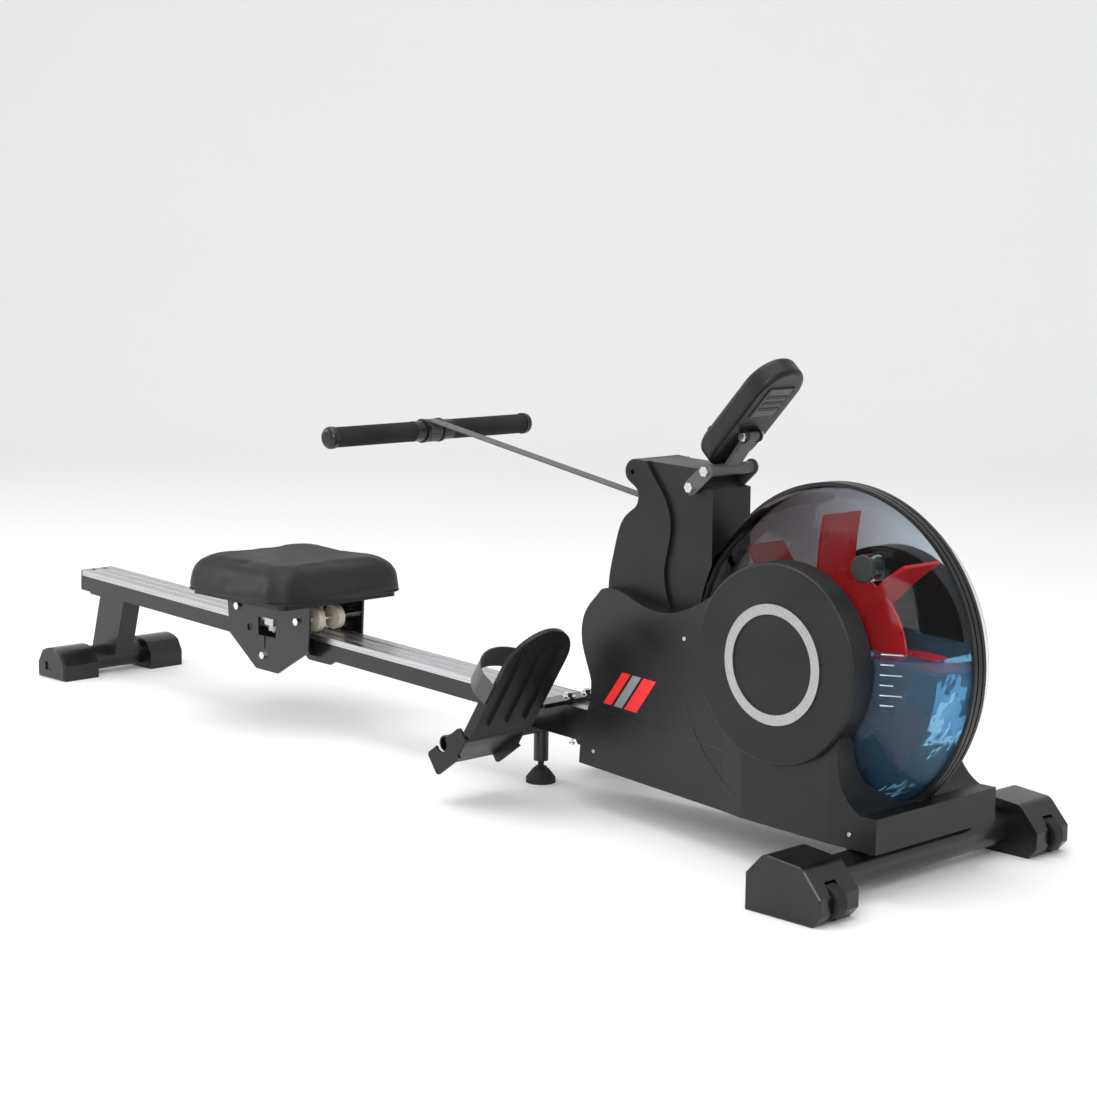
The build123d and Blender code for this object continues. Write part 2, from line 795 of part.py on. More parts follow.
with BuildPart() as carriage_axles:
    for point in axle_points:
        with BuildSketch(side_plane(plate_y + plate_thick)):
            with Locations((point.X, point.Z)):
                Circle(roller_axle_r)
        extrude(amount=2 * (plate_y + plate_thick))
        for side in (1, -1):
            with BuildSketch(side_plane(side * (plate_y + plate_thick))):
                with Locations((point.X, point.Z)):
                    RegularPolygon(7, 6)
            extrude(amount=-side * 5)
    # shoulder that keeps each upper roller off the plate
    for point in axle_points[:2]:
        for side in (1, -1):
            with BuildSketch(side_plane(side * plate_y)):
                with Locations((point.X, point.Z)):
                    Circle(roller_axle_r + 3)
            extrude(amount=side * (plate_y - upper_roller_y - upper_roller_width / 2 - 1))
save(carriage_axles, "carriage_axles")

for direction, name in ((-1, "upper_rollers_rear"), (1, "upper_rollers_front")):
    axle = upper_axle(direction)
    with BuildPart() as rollers:
        for side in (1, -1):
            with BuildSketch(side_plane(side * upper_roller_y + upper_roller_width / 2)):
                with Locations((axle.X, axle.Z)):
                    Circle(upper_roller_r)
                    Circle(roller_axle_r + running_gap, mode=Mode.SUBTRACT)
            extrude(amount=upper_roller_width)
        rims = rollers.edges().filter_by(GeomType.CIRCLE).group_by(SortBy.RADIUS)[-1]
        fillet(rims, radius=1.5)
    save(rollers, name)

with BuildPart() as lower_roller:
    with BuildSketch(side_plane(lower_roller_width / 2)):
        with Locations((lower_axle.X, lower_axle.Z)):
            Circle(lower_roller_r)
            Circle(roller_axle_r + running_gap, mode=Mode.SUBTRACT)
    extrude(amount=lower_roller_width)
save(lower_roller, "lower_roller")

side_roller_y = rail_width / 2 + side_roller_r + roller_gap
side_roller_drop = 5
for side, hand in ((1, "left"), (-1, "right")):
    level = -side_roller_drop - side_roller_height / 2
    with BuildPart() as side_roller:
        with BuildSketch(rail_deck(seat_x, level)):
            with Locations((0, side * side_roller_y)):
                Circle(side_roller_r)
                Circle(side_roller_pin_r + running_gap, mode=Mode.SUBTRACT)
        extrude(amount=side_roller_height)
    save(side_roller, f"side_roller_{hand}")

# angle brackets on the side plates that carry the side rollers' pins
bracket_length = 24
bracket_thick = 3
shelf_height = -side_roller_drop + side_roller_height / 2 + 1
with BuildPart() as side_roller_brackets:
    for side in (1, -1):
        with BuildSketch(rail_deck(seat_x, -side_roller_drop - side_roller_height / 2 - 4)):
            with Locations((0, side * side_roller_y)):
                Circle(side_roller_pin_r)
        extrude(amount=side_roller_height + 8)
        with BuildSketch(rail_deck(seat_x, shelf_height)):
            with Locations((0, side * (side_roller_y - 4 + plate_y) / 2)):
                Rectangle(bracket_length, plate_y - side_roller_y + 4)
        extrude(amount=bracket_thick)
        with BuildSketch(rail_deck(seat_x, shelf_height)):
            with Locations((0, side * (plate_y - bracket_thick / 2))):
                Rectangle(bracket_length, bracket_thick)
        extrude(amount=bracket_length)
save(side_roller_brackets, "side_roller_brackets")

with BuildPart() as seat_base:
    with BuildSketch(Plane.XY.offset(seat_base_z)):
        with Locations((seat_x, 0)):
            RectangleRounded(seat_length - 30, seat_width - 40, 12)
    extrude(amount=seat_base_thick)
save(seat_base, "seat_base")

seat_low = seat_base_z + seat_base_thick
with BuildPart() as seat_pad:
    with BuildSketch(Plane.XY.offset(seat_low)):
        with Locations((seat_x, 0)):
            RectangleRounded(seat_length, seat_width, 40)
    with BuildSketch(Plane.XY.offset(seat_low + seat_thick * 0.6)):
        with Locations((seat_x, 0)):
            RectangleRounded(seat_length - 14, seat_width - 14, 42)
    with BuildSketch(Plane.XY.offset(seat_low + seat_thick)):
        with Locations((seat_x, 0)):
            RectangleRounded(seat_length - 50, seat_width - 50, 36)
    loft(ruled=True)
save(seat_pad, "seat_pad")

# ---------------------------------------------------------------- pull handle
with BuildPart() as handle_bar:
    with BuildSketch(side_plane(handle_half)):
        with Locations((handle_x, handle_z)):
            Circle(handle_bar_r)
            Circle(handle_bar_r - 2, mode=Mode.SUBTRACT)
    extrude(amount=2 * handle_half)
save(handle_bar, "handle_bar")

grip_length = handle_half - grip_inner_y - 4
handle_grips, handle_end_caps = [], []
for side in (1, -1):
    with BuildPart() as grip:
        with BuildSketch(side_plane(side * grip_inner_y)):
            with Locations((handle_x, handle_z)):
                Circle(grip_r)
                Circle(handle_bar_r, mode=Mode.SUBTRACT)
        extrude(amount=-side * grip_length)
    handle_grips.append(grip.part)

    with BuildPart() as end_cap:
        with BuildSketch(side_plane(side * (handle_half - 4))):
            with Locations((handle_x, handle_z)):
                Circle(grip_r + 1.5)
        extrude(amount=-side * 14)
        with BuildSketch(side_plane(side * (handle_half - 4))):
            with Locations((handle_x, handle_z)):
                Circle(handle_bar_r)
        extrude(amount=-side * 4, mode=Mode.SUBTRACT)
        outer = end_cap.faces().sort_by(Axis.Y)[-1 if side > 0 else 0].edges()
        fillet(outer, radius=8)
    handle_end_caps.append(end_cap.part)
save_group(handle_grips, "handle_grips")
save_group(handle_end_caps, "handle_end_caps")

with BuildPart() as handle_collar:
    with BuildSketch(side_plane(grip_inner_y - 0.5)):
        with Locations((handle_x, handle_z)):
            Circle(collar_r)
            Circle(handle_bar_r, mode=Mode.SUBTRACT)
    extrude(amount=2 * grip_inner_y - 1)
    for side in (1, -1):
        with BuildSketch(side_plane(side * (strap_width / 2 + 3))):
            with Locations((handle_x, handle_z)):
                Circle(collar_r + 3)
                Circle(collar_r, mode=Mode.SUBTRACT)
        extrude(amount=-side * 5)
save(handle_collar, "handle_collar")

# ---------------------------------------------------------------- strap, idler and drum
loop_r = collar_r + soft_gap + strap_thick / 2
over_idler = idler_r + soft_gap + strap_thick / 2
on_drum = drum_r + soft_gap + wound_strap - strap_thick / 2
run_start, idler_on = tangent(handle_x, handle_z, loop_r, idler_x, idler_z, over_idler)
idler_off, drum_on = tangent(idler_x, idler_z, over_idler, drum_x, drum_z, on_drum)
with BuildPart() as pull_strap:
    with BuildSketch(side_plane(strap_width / 2)):
        with BuildLine():
            Line(run_start, idler_on)
            ThreePointArc(idler_on, arc_middle(idler_x, idler_z, over_idler, idler_on, idler_off), idler_off)
            Line(idler_off, drum_on)
        trace(line_width=strap_thick)
        with Locations((handle_x, handle_z)):
            Circle(loop_r + strap_thick / 2)
            Circle(loop_r - strap_thick / 2, mode=Mode.SUBTRACT)
        with Locations((drum_x, drum_z)):
            Circle(drum_r + soft_gap + wound_strap)
            Circle(drum_r + soft_gap, mode=Mode.SUBTRACT)
    extrude(amount=strap_width)
save(pull_strap, "pull_strap")

idler_half = 13.5
with BuildPart() as strap_idler:
    with BuildSketch(side_plane(idler_half)):
        with Locations((idler_x, idler_z)):
            Circle(idler_r)
            Circle(roller_axle_r + running_gap, mode=Mode.SUBTRACT)
    extrude(amount=2 * idler_half)
    for side in (1, -1):
        with BuildSketch(side_plane(side * idler_half)):
            with Locations((idler_x, idler_z)):
                Circle(idler_r + 4)
                Circle(roller_axle_r + running_gap, mode=Mode.SUBTRACT)
        extrude(amount=-side * 2)
save(strap_idler, "strap_idler")

# two plates on the mast that hold the idler above and the drum shaft below
cheek_y = 22
cheek_thick = 3
with BuildPart() as roller_bracket:
    for side in (1, -1):
        with BuildSketch(side_plane(side * cheek_y)):
            with BuildLine():
                Polyline(
                    (idler_x - 16, idler_z - 6),
                    (idler_x - 10, idler_z + 14),
                    (idler_x + 12, idler_z + 14),
                    (mast_x + 10, mast_top),
                    (mast_x + 10, drum_z - 40),
                    (drum_x + 20, drum_z - 40),
                    (drum_x - 24, drum_z - 24),
                    (drum_x - 24, drum_z + 24),
                    (mast_x - 30, drum_z + 70),
                    (mast_x - 30, idler_z - 90),
                    close=True,
                )
            make_face()
            with Locations((drum_x, drum_z)):
                Circle(bearing_r - 4, mode=Mode.SUBTRACT)
        extrude(amount=-side * cheek_thick)
        # spacers between the plate and the mast
        with BuildSketch(side_plane(side * cheek_y)):
            with Locations((mast_x, drum_z + 30), (mast_x, idler_z - 40)):
                Circle(7)
        extrude(amount=side * (cheek_y - mast_width / 2))
    with BuildSketch(side_plane(cheek_y + cheek_thick + 4)):
        with Locations((idler_x, idler_z)):
            Circle(roller_axle_r)
    extrude(amount=2 * (cheek_y + cheek_thick + 4))
save(roller_bracket, "roller_bracket")

with BuildPart() as strap_drum:
    with BuildSketch(side_plane(strap_width / 2 + 1 + drum_flange_thick)):
        with Locations((drum_x, drum_z)):
            Circle(drum_r)
            Circle(drum_shaft_r, mode=Mode.SUBTRACT)
    extrude(amount=strap_width + 2 + 2 * drum_flange_thick)
    for side in (1, -1):
        with BuildSketch(side_plane(side * (strap_width / 2 + 1))):
            with Locations((drum_x, drum_z)):
                Circle(drum_flange_r)
                Circle(drum_shaft_r, mode=Mode.SUBTRACT)
        extrude(amount=-side * drum_flange_thick)
save(strap_drum, "strap_drum")

belt_outer_y = belt_y - belt_width / 2
belt_inner_y = belt_y + belt_width / 2
pulley_width = belt_width + 1
spring_case_r = 38
with BuildPart() as drum_shaft:
    with BuildSketch(side_plane(cheek_y + 26)):
        with Locations((drum_x, drum_z)):
            Circle(drum_shaft_r)
    extrude(amount=cheek_y + 26 - belt_outer_y)
    # small belt pulley, fixed on the shaft's end
    with BuildSketch(side_plane(belt_y + pulley_width / 2)):
        with Locations((drum_x, drum_z)):
            Circle(small_pulley_r)
    extrude(amount=pulley_width)
save(drum_shaft, "drum_shaft")

# recoil spring in its case on the far side of the drum
case_y = cheek_y + bearing_width + 2
case_depth = 14
with BuildPart() as recoil_case:
    with BuildSketch(side_plane(case_y)):
        with Locations((drum_x, drum_z)):
            Circle(spring_case_r)
        with Locations(((drum_x + mast_x) / 2, drum_z)):
            Rectangle(mast_x - drum_x, 16)
    extrude(amount=-2)
    with BuildSketch(side_plane(case_y + 2)):
        with Locations((drum_x, drum_z)):
            Circle(spring_case_r)
            Circle(spring_case_r - 2, mode=Mode.SUBTRACT)
    extrude(amount=-case_depth)
    with BuildSketch(side_plane(case_y)):
        with Locations((drum_x, drum_z)):
            Circle(drum_shaft_r + 4)
    extrude(amount=-case_depth, mode=Mode.SUBTRACT)
    # boss that stands the case off the roller bracket
    with BuildSketch(side_plane(case_y)):
        with Locations((mast_x - 6, drum_z)):
            Circle(6)
    extrude(amount=case_y - cheek_y - cheek_thick)
save(recoil_case, "recoil_spring_case")

spring_turns = 6
spring_strip = 1.2
spring_inner = drum_shaft_r + 5
spring_pitch = (spring_case_r - 4 - spring_inner) / spring_turns
with BuildPart() as recoil_spring:
    with BuildSketch(side_plane(case_y + 3)):
        with BuildLine():
            for half_turn in range(2 * spring_turns):
                flip = 1 if half_turn % 2 == 0 else -1
                first_r = spring_inner + spring_pitch * half_turn / 2
                last_r = first_r + spring_pitch / 2
                first = (drum_x + flip * first_r, drum_z)
                last = (drum_x - flip * last_r, drum_z)
                mid_x = (first[0] + last[0]) / 2
                ThreePointArc(first, (mid_x, drum_z + flip * (first_r + last_r) / 2), last)
        trace(line_width=spring_strip)
    extrude(amount=-(case_depth - 5))
save(recoil_spring, "recoil_spring")

belt_span = sqrt((tank_x - drum_x) ** 2 + (tank_z - drum_z) ** 2)
belt_ux, belt_uz = (tank_x - drum_x) / belt_span, (tank_z - drum_z) / belt_span
with BuildPart() as drive_belt:
    with BuildSketch(side_plane(belt_inner_y)):
        for grow, mode in ((belt_thick, Mode.ADD), (0, Mode.SUBTRACT)):
            r1 = small_pulley_r + soft_gap + grow
            r2 = large_pulley_r + soft_gap + grow
            top_1, top_2 = tangent(drum_x, drum_z, r1, tank_x, tank_z, r2)
            low_2, low_1 = tangent(tank_x, tank_z, r2, drum_x, drum_z, r1)
            with BuildLine(mode=Mode.PRIVATE) as loop:
                Line(top_1, top_2)
                ThreePointArc(top_2, (tank_x + belt_ux * r2, tank_z + belt_uz * r2), low_2)
                Line(low_2, low_1)
                ThreePointArc(low_1, (drum_x - belt_ux * r1, drum_z - belt_uz * r1), top_1)
            add(make_face(loop.line, mode=Mode.PRIVATE), mode=mode)
    extrude(amount=belt_width)
save(drive_belt, "drive_belt")

with BuildPart() as large_pulley:
    with BuildSketch(side_plane(belt_y + pulley_width / 2)):
        with Locations((tank_x, tank_z)):
            Circle(large_pulley_r)
            Circle(impeller_shaft_r, mode=Mode.SUBTRACT)
            with PolarLocations(large_pulley_r * 0.58, 6):
                Circle(14, mode=Mode.SUBTRACT)
    extrude(amount=pulley_width)
save(large_pulley, "large_pulley")

# ---------------------------------------------------------------- water tank


# pocket in the right side for the large pulley and the belt
pocket_large = large_pulley_r + belt_thick + pocket_margin
pocket_small = small_pulley_r + belt_thick + pocket_margin


def belt_pocket(shrink, floor):
    """Solid of the belt pocket, grown by shrink all round, from its floor outwards."""
    r1, r2 = pocket_small + shrink, pocket_large + shrink
    top_1, top_2 = tangent(drum_x, drum_z, r1, tank_x, tank_z, r2)
    low_2, low_1 = tangent(tank_x, tank_z, r2, drum_x, drum_z, r1)
    with BuildPart(mode=Mode.PRIVATE) as pocket:
        with BuildSketch(side_plane(-floor)):
            with BuildLine():
                Line(top_1, top_2)
                Line(top_2, low_2)
                Line(low_2, low_1)
                Line(low_1, top_1)
            make_face()
            with Locations((tank_x, tank_z)):
                Circle(r2)
        extrude(amount=tank_half)
    return pocket.part


slope = radians(plug_angle)
plug_x = tank_x + plug_radius * cos(slope)
plug_z = tank_z + plug_radius * sin(slope)
for side, hand in ((1, "left"), (-1, "right")):
    hollow = tank_body(tank_wall)
    if side < 0:
        hollow -= belt_pocket(tank_wall, pocket_floor_y - tank_wall)
    with BuildPart() as tank_shell:
        add(tank_outside)
        if side < 0:
            add(belt_pocket(0, pocket_floor_y), mode=Mode.SUBTRACT)
        add(hollow, mode=Mode.SUBTRACT)
        hub_face_y = tank_half if side > 0 else pocket_floor_y
        with BuildSketch(side_plane(side * (hub_face_y + bearing_width - tank_wall))):
            with Locations((tank_x, tank_z)):
                Circle(bearing_r + 6)
        extrude(amount=side * (bearing_width - tank_wall))
        with BuildSketch(side_plane(side * (hub_face_y + bearing_width))):
            with Locations((tank_x, tank_z)):
                Circle(bearing_r)
        extrude(amount=side * 3 * bearing_width, mode=Mode.SUBTRACT)
        if side < 0:
            # mouth of the fill hole
            with BuildSketch(side_plane(-plug_seat_y + plug_neck)):
                with Locations((plug_x, plug_z)):
                    Circle(plug_r)
            extrude(amount=plug_neck)
            with BuildSketch(side_plane(-plug_seat_y)):
                with Locations((plug_x, plug_z)):
                    Circle(plug_r + plug_margin)
            extrude(amount=plug_neck, mode=Mode.SUBTRACT)
            with BuildSketch(side_plane(-plug_seat_y + plug_neck)):
                with Locations((plug_x, plug_z)):
                    Circle(plug_stem_r + running_gap)
            extrude(amount=plug_neck, mode=Mode.SUBTRACT)
        with BuildSketch(Plane.XZ):
            with Locations((tank_x, tank_z)):
                Circle(tank_r + 20)
        extrude(amount=side * 2 * tank_half, mode=Mode.SUBTRACT)
    save(tank_shell, f"tank_shell_{hand}")

with BuildPart() as tank_seal_band:
    with BuildSketch(side_plane(band_half)):
        with Locations((tank_x, tank_z)):
            Circle(tank_r + band_proud)
            Circle(tank_r - 8, mode=Mode.SUBTRACT)
    extrude(amount=2 * band_half)
    for groove_y in (-band_half * 0.42, band_half * 0.42):
        with BuildSketch(side_plane(groove_y + 1.5)):
            with Locations((tank_x, tank_z)):
                Circle(tank_r + band_proud + 1)
                Circle(tank_r + band_proud - 1.8, mode=Mode.SUBTRACT)
        extrude(amount=3, mode=Mode.SUBTRACT)
    add(tank_outside, mode=Mode.SUBTRACT)
save(tank_seal_band, "tank_seal_band")

with BuildPart() as shaft_bearings:
    for side, wall_y in ((1, tank_half), (-1, pocket_floor_y)):
        outer_y = side * (wall_y + bearing_width - tank_wall)
        with BuildSketch(side_plane(outer_y)):
            with Locations((tank_x, tank_z)):
                Circle(bearing_r)
                Circle(impeller_shaft_r + running_gap, mode=Mode.SUBTRACT)
        extrude(amount=side * bearing_width)
    for side in (1, -1):
        with BuildSketch(side_plane(side * cheek_y)):
            with Locations((drum_x, drum_z)):
                Circle(bearing_r - 4)
                Circle(drum_shaft_r + running_gap, mode=Mode.SUBTRACT)
        extrude(amount=-side * bearing_width)
save(shaft_bearings, "shaft_bearings")

with BuildPart() as impeller_shaft:
    with BuildSketch(side_plane(tank_half + bearing_width)):
        with Locations((tank_x, tank_z)):
            Circle(impeller_shaft_r)
    extrude(amount=tank_half + bearing_width - belt_outer_y + 3)
save(impeller_shaft, "impeller_shaft")

with BuildPart() as impeller:
    hub_outer = 24
    with BuildSketch(side_plane(blade_half)):
        with Locations((tank_x, tank_z)):
            Circle(hub_outer)
    extrude(amount=2 * blade_half)
    with BuildSketch(side_plane(blade_thick / 2)):
        with Locations((tank_x, tank_z)):
            Circle(impeller_r * 0.6)
    extrude(amount=blade_thick)
    with BuildSketch(side_plane(blade_half)):
        with Locations((tank_x, tank_z)):
            with PolarLocations(0, blade_count):
                with BuildLine(mode=Mode.PRIVATE) as blade:
                    inner = hub_outer - 4
                    ThreePointArc((inner, 0), (impeller_r * 0.55, 12), (impeller_r, 4))
                    Line((impeller_r, 4), (impeller_r, 4 - blade_thick))
                    belly = (impeller_r * 0.55, 12 - blade_thick)
                    ThreePointArc((impeller_r, 4 - blade_thick), belly, (inner, -blade_thick))
                    Line((inner, -blade_thick), (inner, 0))
                add(make_face(blade.line, mode=Mode.PRIVATE))
    extrude(amount=2 * blade_half)
    with BuildSketch(side_plane(blade_half)):
        with Locations((tank_x, tank_z)):
            Circle(impeller_shaft_r)
    extrude(amount=2 * blade_half, mode=Mode.SUBTRACT)
save(impeller, "impeller")

# water that lies outside the space the paddle wheel sweeps
sweep_gap = 3
with BuildPart() as tank_water:
    add(tank_body(tank_wall + soft_gap))
    add(belt_pocket(tank_wall + soft_gap, pocket_floor_y - tank_wall - soft_gap), mode=Mode.SUBTRACT)
    with BuildSketch(side_plane(blade_half + sweep_gap)):
        with Locations((tank_x, tank_z)):
            Circle(impeller_r + sweep_gap)
    extrude(amount=2 * (blade_half + sweep_gap), mode=Mode.SUBTRACT)
    with BuildSketch(side_plane(tank_half)):
        with Locations((tank_x, tank_z)):
            Circle(bearing_r + 8)
    extrude(amount=2 * tank_half, mode=Mode.SUBTRACT)
    with BuildSketch(Plane.XY.offset(water_level)):
        with Locations((tank_x, 0)):
            Rectangle(3 * tank_r, 3 * tank_half)
    extrude(amount=tank_r, mode=Mode.SUBTRACT)
save(tank_water, "tank_water")

# fill plug: cap on the outside, stem in the mouth
with BuildPart() as fill_plug:
    with BuildSketch(side_plane(-plug_seat_y - plug_thick)):
        with Locations((plug_x, plug_z)):
            Circle(plug_stem_r)
    extrude(amount=-plug_thick - plug_neck + 6)
    with BuildSketch(side_plane(-plug_seat_y - plug_thick)):
        with Locations((plug_x, plug_z)):
            Circle(plug_r)
    extrude(amount=plug_thick)
    fillet(fill_plug.faces().sort_by(Axis.Y)[0].edges(), radius=2)
save(fill_plug, "fill_plug")

# ---------------------------------------------------------------- side covers
half_widths = [(355, 54), (541, 85), (704, 112), (749, 122), (917, 136), (1010, 137)]
cover_rear_x = 362
hub_root = 60  # where the hub disc starts, inside the cover


def inset(points, amount):
    """Points of a closed outline in clockwise order, moved inwards by amount."""
    moved = []
    for index, point in enumerate(points):
        here = Vector(*point)
        before = (here - Vector(*points[index - 1])).normalized()
        after = (Vector(*points[(index + 1) % len(points)]) - here).normalized()
        middle = before + after
        normal = Vector(middle.Y, -middle.X).normalized()
        stretch = 1 / normal.dot(Vector(before.Y, -before.X))
        moved.append((here.X + normal.X * amount * stretch, here.Y + normal.Y * amount * stretch))
    return moved


panel_points = [
    (390, 199),
    (365, 258),
    (372, 304),
    (405, 338),
    (444, 349),
    (495, 339),
    (552, 331),
    (621, 346),
    (700, 392),
    (tank_x, tank_z),
    (930, 226),
    (931, 176),
    (943, 140),
    (972, base_top_z),
    (base_front_x, base_top_z),
    (base_front_x, base_floor_z),
    (cover_rear_x, base_floor_z),
    (cover_rear_x + 4, 114),
    (390, 173),
]


def panel_sketch(shrink):
    """Side outline of a cover, made smaller by shrink; the shrunk one is open at the bottom."""
    points = inset(panel_points, shrink)
    if shrink:
        points[15] = (points[15][0], base_floor_z - 2 * shrink)
        points[16] = (points[16][0], base_floor_z - 2 * shrink)
    with BuildSketch(side_plane(0), mode=Mode.PRIVATE) as outline:
        with BuildLine():
            Spline(*points[0:5], tangents=[(-0.35, 1), (1, 0)])
            Spline(*points[4:9], tangents=[(1, 0), (1, 0.8)])
            Polyline(*points[8:12])
            ThreePointArc(*points[11:14])
            Polyline(*points[13:], points[0])
        make_face()
    return outline.sketch


def plan_sketch(shrink):
    """Plan of one right-hand cover, which widens towards the front, made narrower by shrink."""
    with BuildSketch(Plane.XY.offset(base_floor_z - 20), mode=Mode.PRIVATE) as plan:
        with BuildLine():
            edge = [(x, shrink - half) for x, half in half_widths]
            Polyline((edge[0][0], 20), *edge, (edge[-1][0], 20), close=True)
        make_face()
    return plan.sketch


def disc(x, z, r, outer_y, depth):
    """Disc about an axis across the machine, from outer_y inwards by depth on the right side."""
    with BuildSketch(side_plane(outer_y), mode=Mode.PRIVATE) as face:
        with Locations((x, z)):
            Circle(r)
    return extrude(face.sketch, amount=-depth)


def cover_body(shrink):
    """Solid of one right-hand cover's outside, made smaller all round by shrink."""
    slab = extrude(panel_sketch(shrink), amount=2 * tank_half, clean=False)
    slab = slab & extrude(plan_sketch(shrink), amount=2 * tank_r)
    outer = hub_face - shrink
    return slab + disc(tank_x, tank_z, hub_r - shrink, -outer, outer - hub_root)


def tank_room():
    """Space on the right that the covers keep free for the tank, with flat-sided cones."""
    side_r = tank_r - tank_core_r + cover_clear
    side_y = tank_half + cover_clear
    stretch = 1 / cos(radians(15))
    corners = [
        (tank_core_r + side_r * stretch * cos(radians(turn)), -side_y * stretch * sin(radians(turn)))
        for turn in (15, 45, 75)
    ]
    with BuildPart(mode=Mode.PRIVATE) as room:
        with BuildSketch(Plane.XY):
            with BuildLine():
                Polyline((0, 20), (corners[0][0], 20), *corners, (0, -side_y), close=True)
            make_face()
        revolve(axis=Axis.Y)
    return Pos(tank_x, 0, tank_z) * room.part


cover_outside = cover_body(0)
cover_outside = fillet(cover_outside.faces().sort_by(Axis.Y)[0].edges(), radius=5)
keep_free = tank_room()
band_room = disc(tank_x, tank_z, tank_r + band_proud + cover_clear, -band_half - cover_clear, 2 * tank_half)
with BuildPart() as rail_room:
    with BuildSketch(rail_section(cover_rear_x - 20)):
        with Locations((0, -(rail_height + saddle_thick + skirt) / 2)):
            Rectangle(2 * saddle_half + 3, rail_height + saddle_thick + skirt + 3)
    extrude(amount=60)
# way through the top for the mast, the roller plates and the strap
with BuildPart() as mast_room:
    with BuildSketch(Plane.XY.offset(base_top_z * 2)):
        with Locations(((drum_x + mast_x) / 2, 0)):
            Rectangle(150, 2 * (cheek_y + cheek_thick) + 20)
    extrude(amount=200)
cover_skin = cover_outside - cover_body(cover_wall) - keep_free - band_room
cover_skin = cover_skin - rail_room.part - mast_room.part
right_piece = cover_skin.solids().sort_by(SortBy.VOLUME)[-1]
save_group([right_piece], "side_cover_right")
save_group([right_piece.mirror(Plane.XZ)], "side_cover_left")

trims = []
for side in (1, -1):
    with BuildPart() as trim:
        with BuildSketch(side_plane(side * hub_face)):
            with Locations((tank_x, tank_z)):
                Circle(ring_outer)
                Circle(ring_inner, mode=Mode.SUBTRACT)
        extrude(amount=-side * ring_thick)
    trims.append(trim.part)
save_group(trims, "hub_trim_rings")

# ---------------------------------------------------------------- tower covers
nose_x, nose_z = 458, 528
notch = (471, 492)
tower_top_z = 546
tower_front_x = 615
tower_low_z = 322


tower_points = [
    (412, tower_low_z),
    (413, 360),
    (424, 410),
    (448, 462),
    (466, 476),
    notch,
    (462, 506),
    (nose_x - nose_r, nose_z),
    (nose_x - nose_r * 0.7, nose_z + nose_r * 0.75),
    (nose_x + 10, tower_top_z),
    (580, 542),
    (592, 516),
    (tower_front_x - 2, 513),
    (tower_front_x, tower_low_z),
]


def tower_sketch(shrink):
    """Side outline of the tower, made smaller by shrink."""
    points = inset(tower_points, shrink)
    with BuildSketch(side_plane(0), mode=Mode.PRIVATE) as outline:
        with BuildLine():
            Spline(*points[0:6], tangents=[(0, 1), (0.1, 1)])
            Spline(*points[5:8], tangents=[(-0.1, 1), (0, 1)])
            ThreePointArc(*points[7:10])
            Polyline(*points[9:], points[0])
        make_face()
    return outline.sketch


with BuildSketch(side_plane(-tower_front_half), mode=Mode.PRIVATE) as front_area:
    with BuildLine():
        step_points = [(476, 560), (503, 521), (533, 475), (536, 438), (526, 385), (530, 355), (548, 320)]
        step = Spline(*step_points)
        Line(step @ 1, (700, 320))
        Line((700, 320), (700, 560))
        Line((700, 560), step @ 0)
    make_face()
with BuildPart() as tower_mouth:
    with BuildSketch(Plane.XY.offset(tower_low_z - 10)):
        with Locations((525, 0)):
            Rectangle(160, 2 * (tower_front_half - cover_wall))
    extrude(amount=60)
# slot for the strap in the notch below the nose
with BuildPart() as strap_room:
    with BuildSketch(side_plane(strap_width / 2 + 2)):
        with Locations((notch[0] - 12, 480)):
            Rectangle(60, 26)
    extrude(amount=strap_width + 4)
tower_skin = extrude(tower_sketch(0), amount=tower_half, clean=False)
tower_skin = tower_skin - extrude(front_area.sketch, amount=tower_half, clean=False)
tower_skin = tower_skin - extrude(tower_sketch(cover_wall), amount=tower_front_half - cover_wall, clean=False)
tower_skin = tower_skin - extrude(panel_sketch(0), amount=2 * tank_half, clean=False)
tower_skin = tower_skin - keep_free - band_room - tower_mouth.part - strap_room.part
tower_skin = tower_skin - disc(nose_x, nose_z - 1, 4, -tower_half, 4)
tower_piece = tower_skin.solids().sort_by(SortBy.VOLUME)[-1]
save_group([tower_piece, tower_piece.mirror(Plane.XZ)], "tower_covers")

